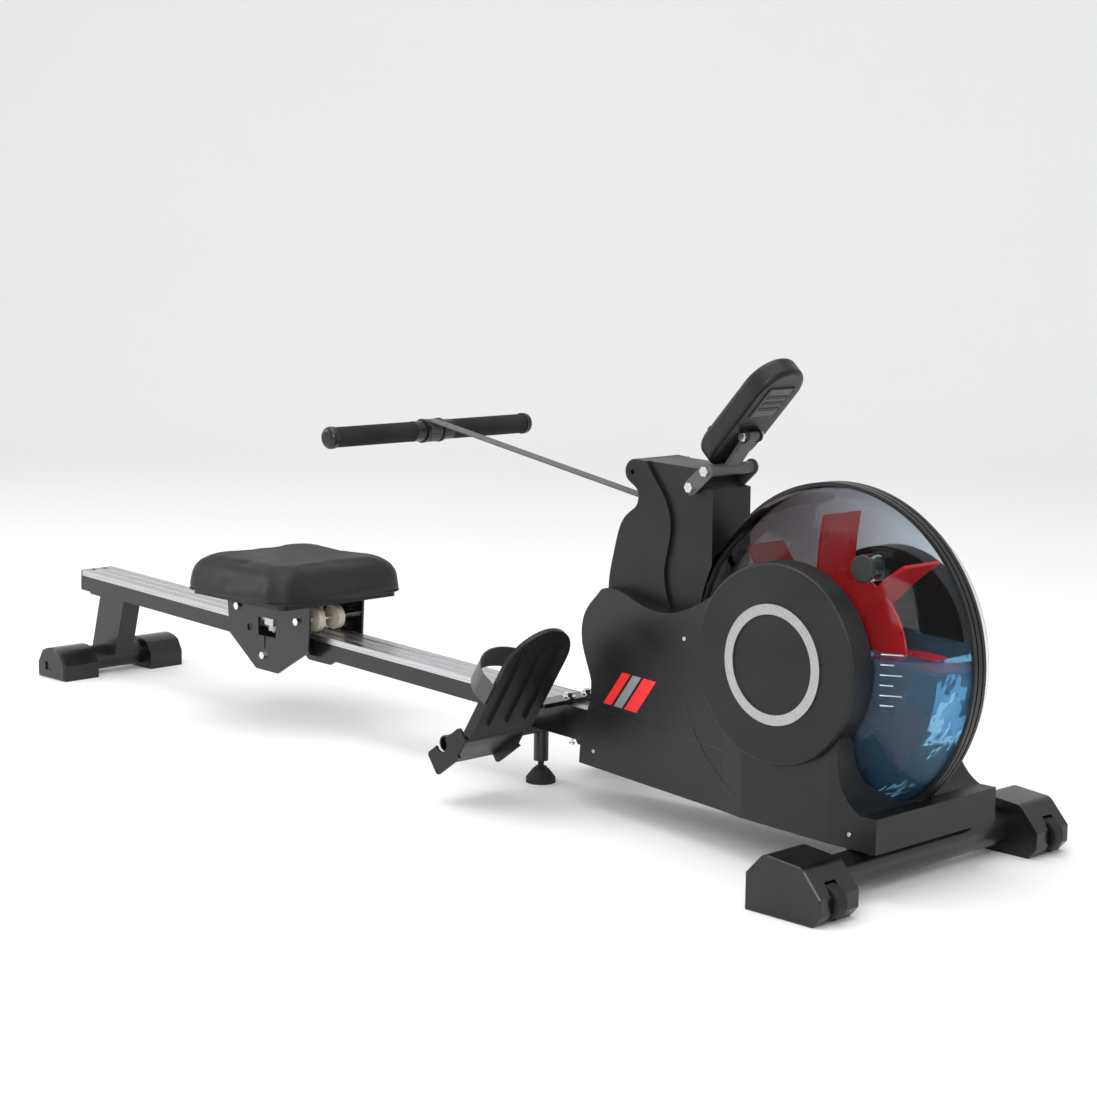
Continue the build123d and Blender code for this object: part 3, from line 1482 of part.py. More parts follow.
# ---------------------------------------------------------------- computer and its bracket
rod_r = 9
link_y = tower_half + 0.5
link_thick = 3
lower_bolt_x, lower_bolt_z = 578, 515
knuckle_half = 12
knuckle_r = 7
pivot_bolt_r = 3.5
strut_thick = 7
strut_width = 28
with BuildPart() as console_bracket:
    with BuildSketch(side_plane(link_y + link_thick)):
        with Locations((cross_rod_x, cross_rod_z)):
            Circle(rod_r)
    extrude(amount=2 * (link_y + link_thick))
    lean = degrees(atan2(cross_rod_z - lower_bolt_z, cross_rod_x - lower_bolt_x))
    reach = sqrt((cross_rod_x - lower_bolt_x) ** 2 + (cross_rod_z - lower_bolt_z) ** 2)
    for side in (1, -1):
        with BuildSketch(side_plane(side * link_y)):
            with Locations(((cross_rod_x + lower_bolt_x) / 2, (cross_rod_z + lower_bolt_z) / 2)):
                SlotCenterToCenter(reach, 24, rotation=lean)
        extrude(amount=-side * link_thick)
        with BuildSketch(side_plane(side * link_y)):
            with Locations((lower_bolt_x, lower_bolt_z)):
                Circle(8)
        extrude(amount=side * (link_y - tower_front_half))
    rise = atan2(pivot_z - cross_rod_z, pivot_x - cross_rod_x)
    span = sqrt((pivot_z - cross_rod_z) ** 2 + (pivot_x - cross_rod_x) ** 2)
    with BuildSketch(side_plane(strut_width / 2)):
        with Locations(((cross_rod_x + pivot_x) / 2, (cross_rod_z + pivot_z) / 2)):
            Rectangle(span, strut_thick, rotation=degrees(rise))
    extrude(amount=strut_width)
    with BuildSketch(side_plane(2 * strut_width)):
        with Locations((pivot_x, pivot_z)):
            Circle(knuckle_r + 3)
    extrude(amount=4 * strut_width, mode=Mode.SUBTRACT)
    with BuildSketch(side_plane(knuckle_half)):
        with Locations((pivot_x, pivot_z)):
            Circle(knuckle_r)
        with Locations((pivot_x - 9 * cos(rise), pivot_z - 9 * sin(rise))):
            Rectangle(12, strut_thick, rotation=degrees(rise))
        with Locations((pivot_x, pivot_z)):
            Circle(pivot_bolt_r, mode=Mode.SUBTRACT)
    extrude(amount=2 * knuckle_half)
save(console_bracket, "console_bracket")

turn = radians(console_angle)
console_normal = Vector(-sin(turn), 0, cos(turn))
console_up = Vector(cos(turn), 0, sin(turn))
console_plane = Plane(origin=(console_x, 0, console_z), x_dir=tuple(console_up), z_dir=tuple(console_normal))
shell_wall = 2
ear_thick = 4
lens_length, lens_width, lens_thick = 92, 62, 2
button_s, button_side = -53, -30
button_r = 6
console_axis = Axis((console_x, 0, console_z), tuple(console_normal))
with BuildPart() as console_back:
    with BuildSketch(console_plane.offset(-console_thick / 2)):
        SlotOverall(console_length, console_width)
    extrude(amount=console_thick / 2)
    fillet(console_back.faces().sort_by(console_axis)[0].edges(), radius=7)
    with BuildSketch(console_plane.offset(-console_thick / 2 + shell_wall + 1)):
        SlotOverall(console_length - 18, console_width - 18)
    extrude(amount=console_thick, mode=Mode.SUBTRACT)
    for side in (1, -1):
        with BuildSketch(side_plane(side * (knuckle_half + soft_gap))):
            with Locations((pivot_x, pivot_z)):
                Circle(knuckle_r + 2)
            with Locations((pivot_x + 5 * console_normal.X, pivot_z + 5 * console_normal.Z)):
                Rectangle(2 * knuckle_r + 4, 10, rotation=console_angle)
            with Locations((pivot_x, pivot_z)):
                Circle(pivot_bolt_r + running_gap, mode=Mode.SUBTRACT)
        extrude(amount=-side * ear_thick)
save(console_back, "console_back")

with BuildPart() as console_front:
    with BuildSketch(console_plane):
        SlotOverall(console_length, console_width)
    extrude(amount=console_thick / 2)
    fillet(console_front.faces().sort_by(console_axis)[-1].edges(), radius=9)
    with BuildSketch(console_plane):
        SlotOverall(console_length - 18, console_width - 18)
    extrude(amount=console_thick / 2 - shell_wall - 2, mode=Mode.SUBTRACT)
    with BuildSketch(console_plane):
        with Locations((18, 0)):
            RectangleRounded(lens_length, lens_width, 8)
        with Locations((button_s, button_side)):
            Circle(button_r - 2 + running_gap)
    extrude(amount=console_thick, mode=Mode.SUBTRACT)
save(console_front, "console_front")

with BuildPart() as console_screen:
    with BuildSketch(console_plane.offset(console_thick / 2 - 4)):
        with Locations((18, 0)):
            RectangleRounded(lens_length, lens_width, 8)
    extrude(amount=lens_thick)
save(console_screen, "console_screen")

button_proud = 6
with BuildPart() as mode_button:
    with BuildSketch(console_plane.offset(console_thick / 2 + 2)):
        with Locations((button_s, button_side)):
            Circle(button_r)
    extrude(amount=button_proud - 2)
    fillet(mode_button.faces().sort_by(console_axis)[-1].edges(), radius=2.5)
    with BuildSketch(console_plane.offset(2)):
        with Locations((button_s, button_side)):
            Circle(button_r - 2)
    extrude(amount=console_thick / 2)
save(mode_button, "mode_button")

with BuildPart() as pivot_bolt:
    ear = knuckle_half + 2 * soft_gap + ear_thick
    with BuildSketch(side_plane(ear)):
        with Locations((pivot_x, pivot_z)):
            Circle(pivot_bolt_r)
    extrude(amount=2 * ear)
    for side in (1, -1):
        with BuildSketch(side_plane(side * ear)):
            with Locations((pivot_x, pivot_z)):
                RegularPolygon(7, 6)
        extrude(amount=-side * 5)

# ---------------------------------------------------------------- fasteners on the frame
with BuildPart() as link_bolts:
    for side in (1, -1):
        with BuildSketch(side_plane(side * (link_y + link_thick))):
            with Locations((cross_rod_x, cross_rod_z), (lower_bolt_x, lower_bolt_z)):
                RegularPolygon(8, 6)
        extrude(amount=-side * 6)
save_group([foot_bar_bolts.part, pivot_bolt.part, link_bolts.part], "frame_bolts")
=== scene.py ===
"""Looks of the water rowing machine: materials, soft parts, small surface pieces, light and camera.

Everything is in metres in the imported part's own frame: +X towards the water tank, +Z up, floor at z = 0.
"""

import json
import math

import bmesh
import bpy
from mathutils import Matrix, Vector


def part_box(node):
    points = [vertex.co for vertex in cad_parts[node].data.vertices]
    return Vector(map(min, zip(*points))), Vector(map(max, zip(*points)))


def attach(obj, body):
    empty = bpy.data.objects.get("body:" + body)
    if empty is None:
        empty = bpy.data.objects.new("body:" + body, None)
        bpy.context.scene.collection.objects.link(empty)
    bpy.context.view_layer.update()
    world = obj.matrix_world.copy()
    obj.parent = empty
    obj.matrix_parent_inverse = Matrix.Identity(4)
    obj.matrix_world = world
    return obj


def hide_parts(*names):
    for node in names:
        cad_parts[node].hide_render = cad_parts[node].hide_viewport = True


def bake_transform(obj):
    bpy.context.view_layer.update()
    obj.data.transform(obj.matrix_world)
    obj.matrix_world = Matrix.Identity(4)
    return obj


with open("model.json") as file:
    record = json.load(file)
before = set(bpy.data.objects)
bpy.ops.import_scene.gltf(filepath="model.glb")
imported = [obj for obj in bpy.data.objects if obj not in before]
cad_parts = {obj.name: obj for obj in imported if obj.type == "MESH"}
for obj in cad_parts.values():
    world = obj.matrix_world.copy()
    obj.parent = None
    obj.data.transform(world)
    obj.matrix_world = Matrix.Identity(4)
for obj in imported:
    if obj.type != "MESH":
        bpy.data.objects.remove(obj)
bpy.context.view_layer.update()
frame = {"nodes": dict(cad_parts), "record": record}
record = frame["record"]
joints = {joint["name"]: joint for joint in record["behaviour"]["joints"]}
MM = 0.001


# ---------------------------------------------------------------- materials
def new_material(name):
    """Empty node material and its shader."""
    material = bpy.data.materials.new(name)
    material.use_nodes = True
    return material, material.node_tree.nodes["Principled BSDF"]


def noise(material, scale, detail=3.0):
    """Noise over the object's own coordinates."""
    nodes, links = material.node_tree.nodes, material.node_tree.links
    place = nodes.new("ShaderNodeTexCoord")
    texture = nodes.new("ShaderNodeTexNoise")
    texture.inputs["Scale"].default_value = scale
    texture.inputs["Detail"].default_value = detail
    links.new(place.outputs["Object"], texture.inputs["Vector"])
    return texture


def ramp(material, source, low, high, from_min=0.35, from_max=0.65):
    """Number that runs from low to high as the source runs between two of its values."""
    nodes, links = material.node_tree.nodes, material.node_tree.links
    spread = nodes.new("ShaderNodeMapRange")
    spread.inputs["From Min"].default_value = from_min
    spread.inputs["From Max"].default_value = from_max
    spread.inputs["To Min"].default_value = low
    spread.inputs["To Max"].default_value = high
    links.new(source, spread.inputs["Value"])
    return spread.outputs["Result"]


def tint(material, source, dark, light):
    """Colour between two shades, set by the source."""
    nodes, links = material.node_tree.nodes, material.node_tree.links
    mix = nodes.new("ShaderNodeMix")
    mix.data_type = "RGBA"
    mix.inputs[6].default_value = (*dark, 1)
    mix.inputs[7].default_value = (*light, 1)
    links.new(source, mix.inputs["Factor"])
    return mix.outputs[2]


def bump(material, shader, height, strength, distance):
    """Fine relief from a height source."""
    nodes, links = material.node_tree.nodes, material.node_tree.links
    relief = nodes.new("ShaderNodeBump")
    relief.inputs["Strength"].default_value = strength
    relief.inputs["Distance"].default_value = distance
    links.new(height, relief.inputs["Height"])
    links.new(relief.outputs["Normal"], shader.inputs["Normal"])


def surface(name, dark, light, rough, metal=0.0, grain=900.0, relief=0.0, coat=0.0, shine=0.5):
    """Solid finish whose shade and roughness vary a little, with a fine grain where it has relief."""
    material, shader = new_material(name)
    links = material.node_tree.links
    cloud = noise(material, 9.0)
    shade = ramp(material, cloud.outputs["Fac"], 0, 1)
    links.new(tint(material, shade, dark, light), shader.inputs["Base Color"])
    links.new(ramp(material, cloud.outputs["Fac"], rough[0], rough[1]), shader.inputs["Roughness"])
    shader.inputs["Metallic"].default_value = metal
    shader.inputs["Specular IOR Level"].default_value = shine
    shader.inputs["Coat Weight"].default_value = coat
    shader.inputs["Coat Roughness"].default_value = 0.12
    if relief:
        fine = noise(material, grain, 2.0)
        bump(material, shader, fine.outputs["Fac"], 0.5, relief)
    return material


def grey(value):
    """Neutral shade."""
    return (value, value, value * 1.03)


def brushed(name, dark, light, axis, rough=(0.24, 0.36)):
    """Metal with fine lines along one axis."""
    material, shader = new_material(name)
    nodes, links = material.node_tree.nodes, material.node_tree.links
    texture = noise(material, 1.0, 4.0)
    stretch = nodes.new("ShaderNodeMapping")
    stretch.inputs["Scale"].default_value = [4 if index == axis else 700 for index in range(3)]
    place = nodes.new("ShaderNodeTexCoord")
    links.new(place.outputs["Object"], stretch.inputs["Vector"])
    links.new(stretch.outputs["Vector"], texture.inputs["Vector"])
    shade = ramp(material, texture.outputs["Fac"], 0, 1)
    links.new(tint(material, shade, dark, light), shader.inputs["Base Color"])
    links.new(ramp(material, texture.outputs["Fac"], rough[0], rough[1]), shader.inputs["Roughness"])
    shader.inputs["Metallic"].default_value = 1.0
    return material


def clear_plastic():
    """Transparent tank wall with painted shade in its colour, dark towards the rear and clear towards the
    front, with faint wear.
    """
    material, shader = new_material("tank_clear")
    nodes, links = material.node_tree.nodes, material.node_tree.links
    middle = sum(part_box("tank_seal_band"), Vector()) / 2
    place = nodes.new("ShaderNodeTexCoord")
    split = nodes.new("ShaderNodeSeparateXYZ")
    links.new(place.outputs["Object"], split.inputs["Vector"])
    # painted shade: the wall's colour darkens towards the rear to stand for the dark inside seen through it
    painted_shade = ramp(material, split.outputs["X"], 0, 1, middle.x - 120 * MM, middle.x + 210 * MM)
    links.new(tint(material, painted_shade, (0.22, 0.19, 0.20), (0.84, 0.92, 0.97)), shader.inputs["Base Color"])
    shader.inputs["Transmission Weight"].default_value = 1.0
    shader.inputs["IOR"].default_value = 1.06
    wear = noise(material, 14.0)
    links.new(ramp(material, wear.outputs["Fac"], 0.03, 0.07), shader.inputs["Roughness"])
    shader.inputs["Coat Weight"].default_value = 0.12
    shader.inputs["Coat Roughness"].default_value = 0.05
    return material


def water_look():
    """Clear blue water with a rippled surface."""
    material, shader = new_material("water")
    shader.inputs["Base Color"].default_value = (0.30, 0.58, 0.78, 1)
    shader.inputs["Transmission Weight"].default_value = 0.9
    shader.inputs["IOR"].default_value = 1.2
    shader.inputs["Roughness"].default_value = 0.06
    ripple = noise(material, 26.0, 2.0)
    bump(material, shader, ripple.outputs["Fac"], 0.8, 5 * MM)
    return material


def woven(name, dark, light, pitch):
    """Cloth woven in two directions, as a relief and as two shades."""
    material, shader = new_material(name)
    nodes, links = material.node_tree.nodes, material.node_tree.links
    place = nodes.new("ShaderNodeTexCoord")
    waves = []
    for axis in "XY":
        wave = nodes.new("ShaderNodeTexWave")
        wave.bands_direction = axis
        wave.inputs["Scale"].default_value = 0.31 / pitch
        wave.inputs["Distortion"].default_value = 0.6
        links.new(place.outputs["Object"], wave.inputs["Vector"])
        waves.append(wave)
    mix = nodes.new("ShaderNodeMath")
    mix.operation = "MULTIPLY"
    links.new(waves[0].outputs["Fac"], mix.inputs[0])
    links.new(waves[1].outputs["Fac"], mix.inputs[1])
    links.new(tint(material, mix.outputs["Value"], dark, light), shader.inputs["Base Color"])
    shader.inputs["Roughness"].default_value = 0.82
    shader.inputs["Sheen Weight"].default_value = 0.25
    bump(material, shader, mix.outputs["Value"], 0.7, 0.5 * MM)
    return material


def named(name, maker, *values, **options):
    """Material made by maker under its record name."""
    return {name: maker(name, *values, **options)}


looks = {
    **named(
        "satin_black_plastic", surface, grey(0.006), grey(0.011), (0.34, 0.46), relief=0.05 * MM, shine=0.3
    ),
    **named("gloss_black_plastic", surface, grey(0.004), grey(0.008), (0.2, 0.32), coat=0.15, shine=0.35),
    **named("black_paint", surface, grey(0.004), grey(0.008), (0.22, 0.34), coat=0.25, grain=500, shine=0.35),
    **named("rail_aluminium", brushed, grey(0.42), grey(0.6), 0),
    **named("chrome", surface, grey(0.62), grey(0.72), (0.08, 0.18), metal=1.0),
    **named("steel", brushed, grey(0.42), grey(0.55), 1),
    **named("grey_paint", surface, grey(0.05), grey(0.08), (0.34, 0.46), relief=0.06 * MM, shine=0.4),
    "tank_clear": clear_plastic(),
    "water": water_look(),
    **named("impeller_red", surface, (0.62, 0.004, 0.008), (0.82, 0.010, 0.014), (0.24, 0.36)),
    **named("black_rubber", surface, grey(0.008), grey(0.016), (0.6, 0.78), relief=0.2 * MM, shine=0.3),
    **named(
        "foam_grip", surface, grey(0.008), grey(0.018), (0.8, 0.92), grain=1500, relief=0.4 * MM, shine=0.25
    ),
    **named(
        "seat_vinyl", surface, grey(0.008), grey(0.014), (0.46, 0.6), grain=650, relief=0.25 * MM, shine=0.3
    ),
    "webbing": woven("webbing", grey(0.018), grey(0.05), 1.6 * MM),
    **named("roller_white", surface, (0.5, 0.45, 0.36), (0.62, 0.57, 0.48), (0.35, 0.5)),
    **named("silver_trim", brushed, grey(0.34), grey(0.46), 1, rough=(0.3, 0.4)),
    **named("screen", surface, (0.07, 0.09, 0.08), (0.10, 0.12, 0.11), (0.08, 0.16), coat=0.8),
    **named("seal_black", surface, grey(0.005), grey(0.01), (0.3, 0.45), relief=0.1 * MM, shine=0.4),
}
stripe_red = surface("stripe_red", (0.72, 0.02, 0.02), (0.82, 0.03, 0.03), (0.3, 0.4), coat=0.3)
stripe_silver = surface("stripe_silver", grey(0.4), grey(0.52), (0.3, 0.4), metal=0.7)
print_white = surface("print_white", grey(0.6), grey(0.7), (0.4, 0.5))

slots = {entry["node"]: entry["material_slot"] for entry in record["subparts"]}
for name, obj in frame["nodes"].items():
    obj.data.materials.clear()
    obj.data.materials.append(looks[slots[name]])


# ---------------------------------------------------------------- helpers for new pieces
def place(mesh, name, material, body, slot):
    """Puts a finished mesh in the scene, riding on a body."""
    obj = bpy.data.objects.new(name, mesh)
    bpy.context.scene.collection.objects.link(obj)
    mesh.materials.append(material)
    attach(obj, body)
    return obj


def smooth(mesh):
    """Smooth shading on every face."""
    mesh.polygons.foreach_set("use_smooth", [True] * len(mesh.polygons))


def box_of(node):
    """Lowest corner, highest corner and middle of a node."""
    low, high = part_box(node)
    return low, high, (low + high) / 2


# ---------------------------------------------------------------- seat cushion
# share of the thickness, inset of the outline and corner radius of each level, the last two in millimetres
CUSHION_LEVELS = [(0.0, 8, 34), (0.1, 3, 40), (0.55, 5, 42), (0.8, 12, 44), (0.93, 24, 46)]
CUSHION_POINTS = 48
CUSHION_GRID = 6 * MM
PINNED_HEIGHT = 4 * MM
AIR_PRESSURE = 4
CLOTH_FRAMES = 20
LARGEST_PUFF = 5 * MM
CROWN_DROP = 3.5 * MM
SIDE_DROP = 2.5 * MM
WELT_RADIUS = 1.8 * MM
WELT_INSET = 6 * MM
WELT_CORNER = 36 * MM
WELT_HEIGHT = 3 * MM
WELT_POINTS = 64


def seat_outline(half_length, half_width, corner, count):
    """Rounded rectangle as a ring of points, seen from above."""
    ring = []
    per_corner = count // 4
    for quarter in range(4):
        sign_x = 1 if quarter in (0, 3) else -1
        sign_y = 1 if quarter in (0, 1) else -1
        for step in range(per_corner):
            angle = math.radians(90 * (quarter + step / (per_corner - 1)))
            x = sign_x * (half_length - corner) + corner * math.cos(angle)
            y = sign_y * (half_width - corner) + corner * math.sin(angle)
            ring.append((x, y))
    return ring


def ring_mesh(name, rings):
    """Closed mesh through rings of points, with flat ends."""
    mesh = bmesh.new()
    layers = [[mesh.verts.new(point) for point in ring] for ring in rings]
    count = len(layers[0])
    for lower, upper in zip(layers, layers[1:]):
        for index in range(count):
            after = (index + 1) % count
            mesh.faces.new((lower[index], lower[after], upper[after], upper[index]))
    mesh.faces.new(list(reversed(layers[0])))
    mesh.faces.new(layers[-1])
    data = bpy.data.meshes.new(name)
    mesh.to_mesh(data)
    mesh.free()
    return data


def make_cushion():
    """Seat cushion: a padded block puffed by a short cloth simulation, with a slight dip on top."""
    low, high, middle = box_of("seat_pad")
    half_x, half_y = (high.x - low.x) / 2, (high.y - low.y) / 2
    thick = high.z - low.z
    rings = []
    for share, inward, corner in CUSHION_LEVELS:
        ring = seat_outline(half_x - inward * MM, half_y - inward * MM, corner * MM, CUSHION_POINTS)
        rings.append([(middle.x + x, middle.y + y, low.z + thick * share) for x, y in ring])
    mesh = ring_mesh("seat_cushion", rings)
    obj = bpy.data.objects.new("seat_cushion", mesh)
    bpy.context.scene.collection.objects.link(obj)
    bpy.context.view_layer.objects.active = obj
    obj.select_set(True)
    remesh = obj.modifiers.new("remesh", "REMESH")
    remesh.mode = "VOXEL"
    remesh.voxel_size = CUSHION_GRID
    bpy.ops.object.modifier_apply(modifier="remesh")
    before = [vertex.co.copy() for vertex in obj.data.vertices]
    pinned = obj.vertex_groups.new(name="pinned")
    low_points = [v.index for v in obj.data.vertices if v.co.z < low.z + PINNED_HEIGHT]
    pinned.add(low_points, 1.0, "REPLACE")
    cloth = obj.modifiers.new("cloth", "CLOTH")
    cloth.settings.use_pressure = True
    cloth.settings.uniform_pressure_force = AIR_PRESSURE
    cloth.settings.vertex_group_mass = "pinned"
    cloth.settings.effector_weights.gravity = 0
    cloth.collision_settings.use_collision = False
    cloth.point_cache.frame_start = 1
    cloth.point_cache.frame_end = CLOTH_FRAMES
    for step in range(1, CLOTH_FRAMES + 1):
        bpy.context.scene.frame_set(step)
    bpy.ops.object.modifier_apply(modifier="cloth")
    bpy.context.scene.frame_set(1)
    for vertex, start in zip(obj.data.vertices, before):
        move = vertex.co - start
        if move.length > LARGEST_PUFF:
            vertex.co = start + move.normalized() * LARGEST_PUFF
        vertex.co.z = max(low.z, min(vertex.co.z, high.z))
    # the middle dips a little where a person sits, and the sides fall away
    for vertex in obj.data.vertices:
        rise = max(0.0, (vertex.co.z - low.z) / thick - 0.5) * 2
        u = (vertex.co.x - middle.x) / half_x
        v = (vertex.co.y - middle.y) / half_y
        vertex.co.z -= rise * (CROWN_DROP * (1 - min(1.0, u * u + v * v)) + SIDE_DROP * v * v)
    modifier = obj.modifiers.new("smooth", "SMOOTH")
    modifier.iterations = 4
    bpy.ops.object.modifier_apply(modifier="smooth")
    smooth(obj.data)
    obj.data.materials.append(looks["seat_vinyl"])
    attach(obj, "seat")
    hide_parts("seat_pad")


def make_piping():
    """Welt round the seat's lower edge."""
    low, high, middle = box_of("seat_pad")
    half_x, half_y = (high.x - low.x) / 2, (high.y - low.y) / 2
    ring = seat_outline(half_x - WELT_INSET, half_y - WELT_INSET, WELT_CORNER, WELT_POINTS)
    curve = bpy.data.curves.new("seat_welt", "CURVE")
    curve.dimensions = "3D"
    curve.bevel_depth = WELT_RADIUS
    curve.bevel_resolution = 3
    spline = curve.splines.new("POLY")
    spline.points.add(len(ring) - 1)
    for point, (x, y) in zip(spline.points, ring):
        point.co = (middle.x + x, middle.y + y, low.z + WELT_HEIGHT, 1)
    spline.use_cyclic_u = True
    obj = bpy.data.objects.new("seat_welt", curve)
    bpy.context.scene.collection.objects.link(obj)
    curve.materials.append(looks["seat_vinyl"])
    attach(obj, "seat")


make_cushion()
make_piping()


# ---------------------------------------------------------------- pull strap
STRAP_CUTS = 60


def make_pull_strap():
    """The strap's shown mesh, cut along its run so that it can lengthen as the handle moves."""
    source = frame["nodes"]["pull_strap"]
    mesh = source.data.copy()
    mesh.materials.clear()
    mesh.materials.append(looks["webbing"])
    idler, handle = box_of("strap_idler")[2], box_of("handle_bar")[2]
    run = handle - idler
    run.y = 0
    work = bmesh.new()
    work.from_mesh(mesh)
    for step in range(1, STRAP_CUTS):
        point = idler + run * (step / STRAP_CUTS)
        everything = work.verts[:] + work.edges[:] + work.faces[:]
        bmesh.ops.bisect_plane(work, geom=everything, plane_co=point, plane_no=run.normalized(), dist=1e-6)
    work.to_mesh(mesh)
    work.free()
    obj = bpy.data.objects.new("pull_strap_cloth", mesh)
    bpy.context.scene.collection.objects.link(obj)
    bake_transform(obj)
    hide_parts("pull_strap")


make_pull_strap()


# ---------------------------------------------------------------- small pieces on covers, computer and tank
# half-width of the side covers at distances from their rear edge, in millimetres
COVER_WIDTHS = [(0, 55), (179, 85), (342, 112), (387, 122), (555, 136), (638, 137)]


def cover_half(x):
    """Half-width of the side covers at x."""
    along = (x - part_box("side_cover_right")[0].x) / MM
    for (start, first), (end, last) in zip(COVER_WIDTHS, COVER_WIDTHS[1:]):
        if along <= end:
            break
    return (first + (last - first) * (along - start) / (end - start)) * MM


def quad_plate(name, corners, thick, material, body, slot):
    """Thin plate with four corners and a thickness towards -Y."""
    mesh = bmesh.new()
    back = [mesh.verts.new(corner) for corner in corners]
    front = [mesh.verts.new((x, y - thick, z)) for x, y, z in corners]
    mesh.faces.new(back)
    mesh.faces.new(list(reversed(front)))
    for index in range(4):
        after = (index + 1) % 4
        mesh.faces.new((back[after], back[index], front[index], front[after]))
    bmesh.ops.recalc_face_normals(mesh, faces=mesh.faces)
    data = bpy.data.meshes.new(name)
    mesh.to_mesh(data)
    mesh.free()
    return place(data, name, material, body, slot)


STRIPE_LEAN = 46 * MM
STRIPE_FOOT = 105 * MM
STRIPE_HEAD = 160 * MM
# start from the rear edge of the cover and width, in millimetres, and look
STRIPES = [(60, 20, stripe_red), (86, 20, stripe_silver), (112, 30, stripe_red)]


def make_stripes():
    """Three slanted stripes, red, silver and red, on the rear of each side cover."""
    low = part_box("side_cover_right")[0]
    foot_z, head_z = low.z + STRIPE_FOOT, low.z + STRIPE_HEAD
    for side, hand in ((-1, "right"), (1, "left")):
        for number, (start, width, look) in enumerate(STRIPES):
            corners = []
            for x, z in (
                (low.x + start * MM, foot_z),
                (low.x + (start + width) * MM, foot_z),
                (low.x + (start + width) * MM + STRIPE_LEAN, head_z),
                (low.x + start * MM + STRIPE_LEAN, head_z),
            ):
                corners.append((x, side * (cover_half(x) + 0.05 * MM), z))
            name = f"stripe_{number + 1}_{hand}"
            quad_plate(name, corners, -side * 0.3 * MM, look, "frame", "silver_trim")


def line_on_cover(name, points, side, radius):
    """Raised seam line on a side cover, through points of its side view."""
    curve = bpy.data.curves.new(name, "CURVE")
    curve.dimensions = "3D"
    curve.bevel_depth = radius
    curve.bevel_resolution = 2
    spline = curve.splines.new("POLY")
    spline.points.add(len(points) - 1)
    for point, (x, z) in zip(spline.points, points):
        point.co = (x, side * cover_half(x), z, 1)
    obj = bpy.data.objects.new(name, curve)
    bpy.context.scene.collection.objects.link(obj)
    curve.materials.append(looks["gloss_black_plastic"])
    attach(obj, "frame")


# radius and height of each ring of a screw head, in millimetres
SCREW_PROFILE = [(3.2, 0.0), (3.2, 1.0), (2.6, 1.4), (1.5, 1.4), (1.5, 0.5), (0.01, 0.5)]
SCREW_POINTS = 18


def screw(name, middle, side):
    """Round screw head with a socket in its middle, facing out to one side."""
    mesh = bmesh.new()
    rings = []
    for radius, out in SCREW_PROFILE:
        ring = []
        for index in range(SCREW_POINTS):
            angle = 2 * math.pi * index / SCREW_POINTS
            ring.append(
                mesh.verts.new(
                    (
                        middle.x + radius * MM * math.cos(angle),
                        middle.y + side * out * MM,
                        middle.z + radius * MM * math.sin(angle),
                    )
                )
            )
        rings.append(ring)
    for lower, upper in zip(rings, rings[1:]):
        for index in range(SCREW_POINTS):
            after = (index + 1) % SCREW_POINTS
            mesh.faces.new((lower[index], lower[after], upper[after], upper[index]))
    mesh.faces.new(rings[0])
    mesh.faces.new(rings[-1])
    bmesh.ops.recalc_face_normals(mesh, faces=mesh.faces)
    data = bpy.data.meshes.new(name)
    mesh.to_mesh(data)
    mesh.free()
    return place(data, name, looks["steel"], "frame", "steel")


# places on the side covers, in millimetres from their rear and lower edges
SEAM_START = (24, 96)
SEAM_STEP = (45, -1.1)
SEAM_POINTS = 9
SCREW_PLACES = [(37, 25), (251, 235), (593, 20)]
CONTOUR_RADIUS = 222 * MM
CONTOUR_POINTS = 17


def make_cover_details():
    """Seam and base contour of each side cover, and its screws."""
    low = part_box("side_cover_right")[0]
    hub = box_of("hub_trim_rings")[2]
    for side, hand in ((-1, "right"), (1, "left")):
        seam = []
        for step in range(SEAM_POINTS):
            along, up = (start + step * move for start, move in zip(SEAM_START, SEAM_STEP))
            seam.append((low.x + along * MM, low.z + up * MM))
        line_on_cover(f"cover_seam_{hand}", seam, side, 0.8 * MM)
        contour = []
        for step in range(CONTOUR_POINTS):
            angle = math.radians(205 + 4.4 * step)
            x, z = hub.x + CONTOUR_RADIUS * math.cos(angle), hub.z + CONTOUR_RADIUS * math.sin(angle)
            contour.append((x, z))
        line_on_cover(f"base_contour_{hand}", contour, side, 0.9 * MM)
        for number, (along, up) in enumerate(SCREW_PLACES):
            x, z = low.x + along * MM, low.z + up * MM
            middle = Vector((x, side * (cover_half(x) - 0.2 * MM), z))
            screw(f"cover_screw_{number + 1}_{hand}", middle, side)


CONSOLE_BACK_DEPTH = 16.6 * MM
# name, place along the back, size along it, size across it and thickness, in millimetres
DOOR_PIECES = [
    ("battery_door", 38, 58, 52, 1.6),
    ("battery_rib_1", 26, 4, 40, 2.6),
    ("battery_rib_2", 38, 4, 40, 2.6),
    ("battery_rib_3", 50, 4, 40, 2.6),
]


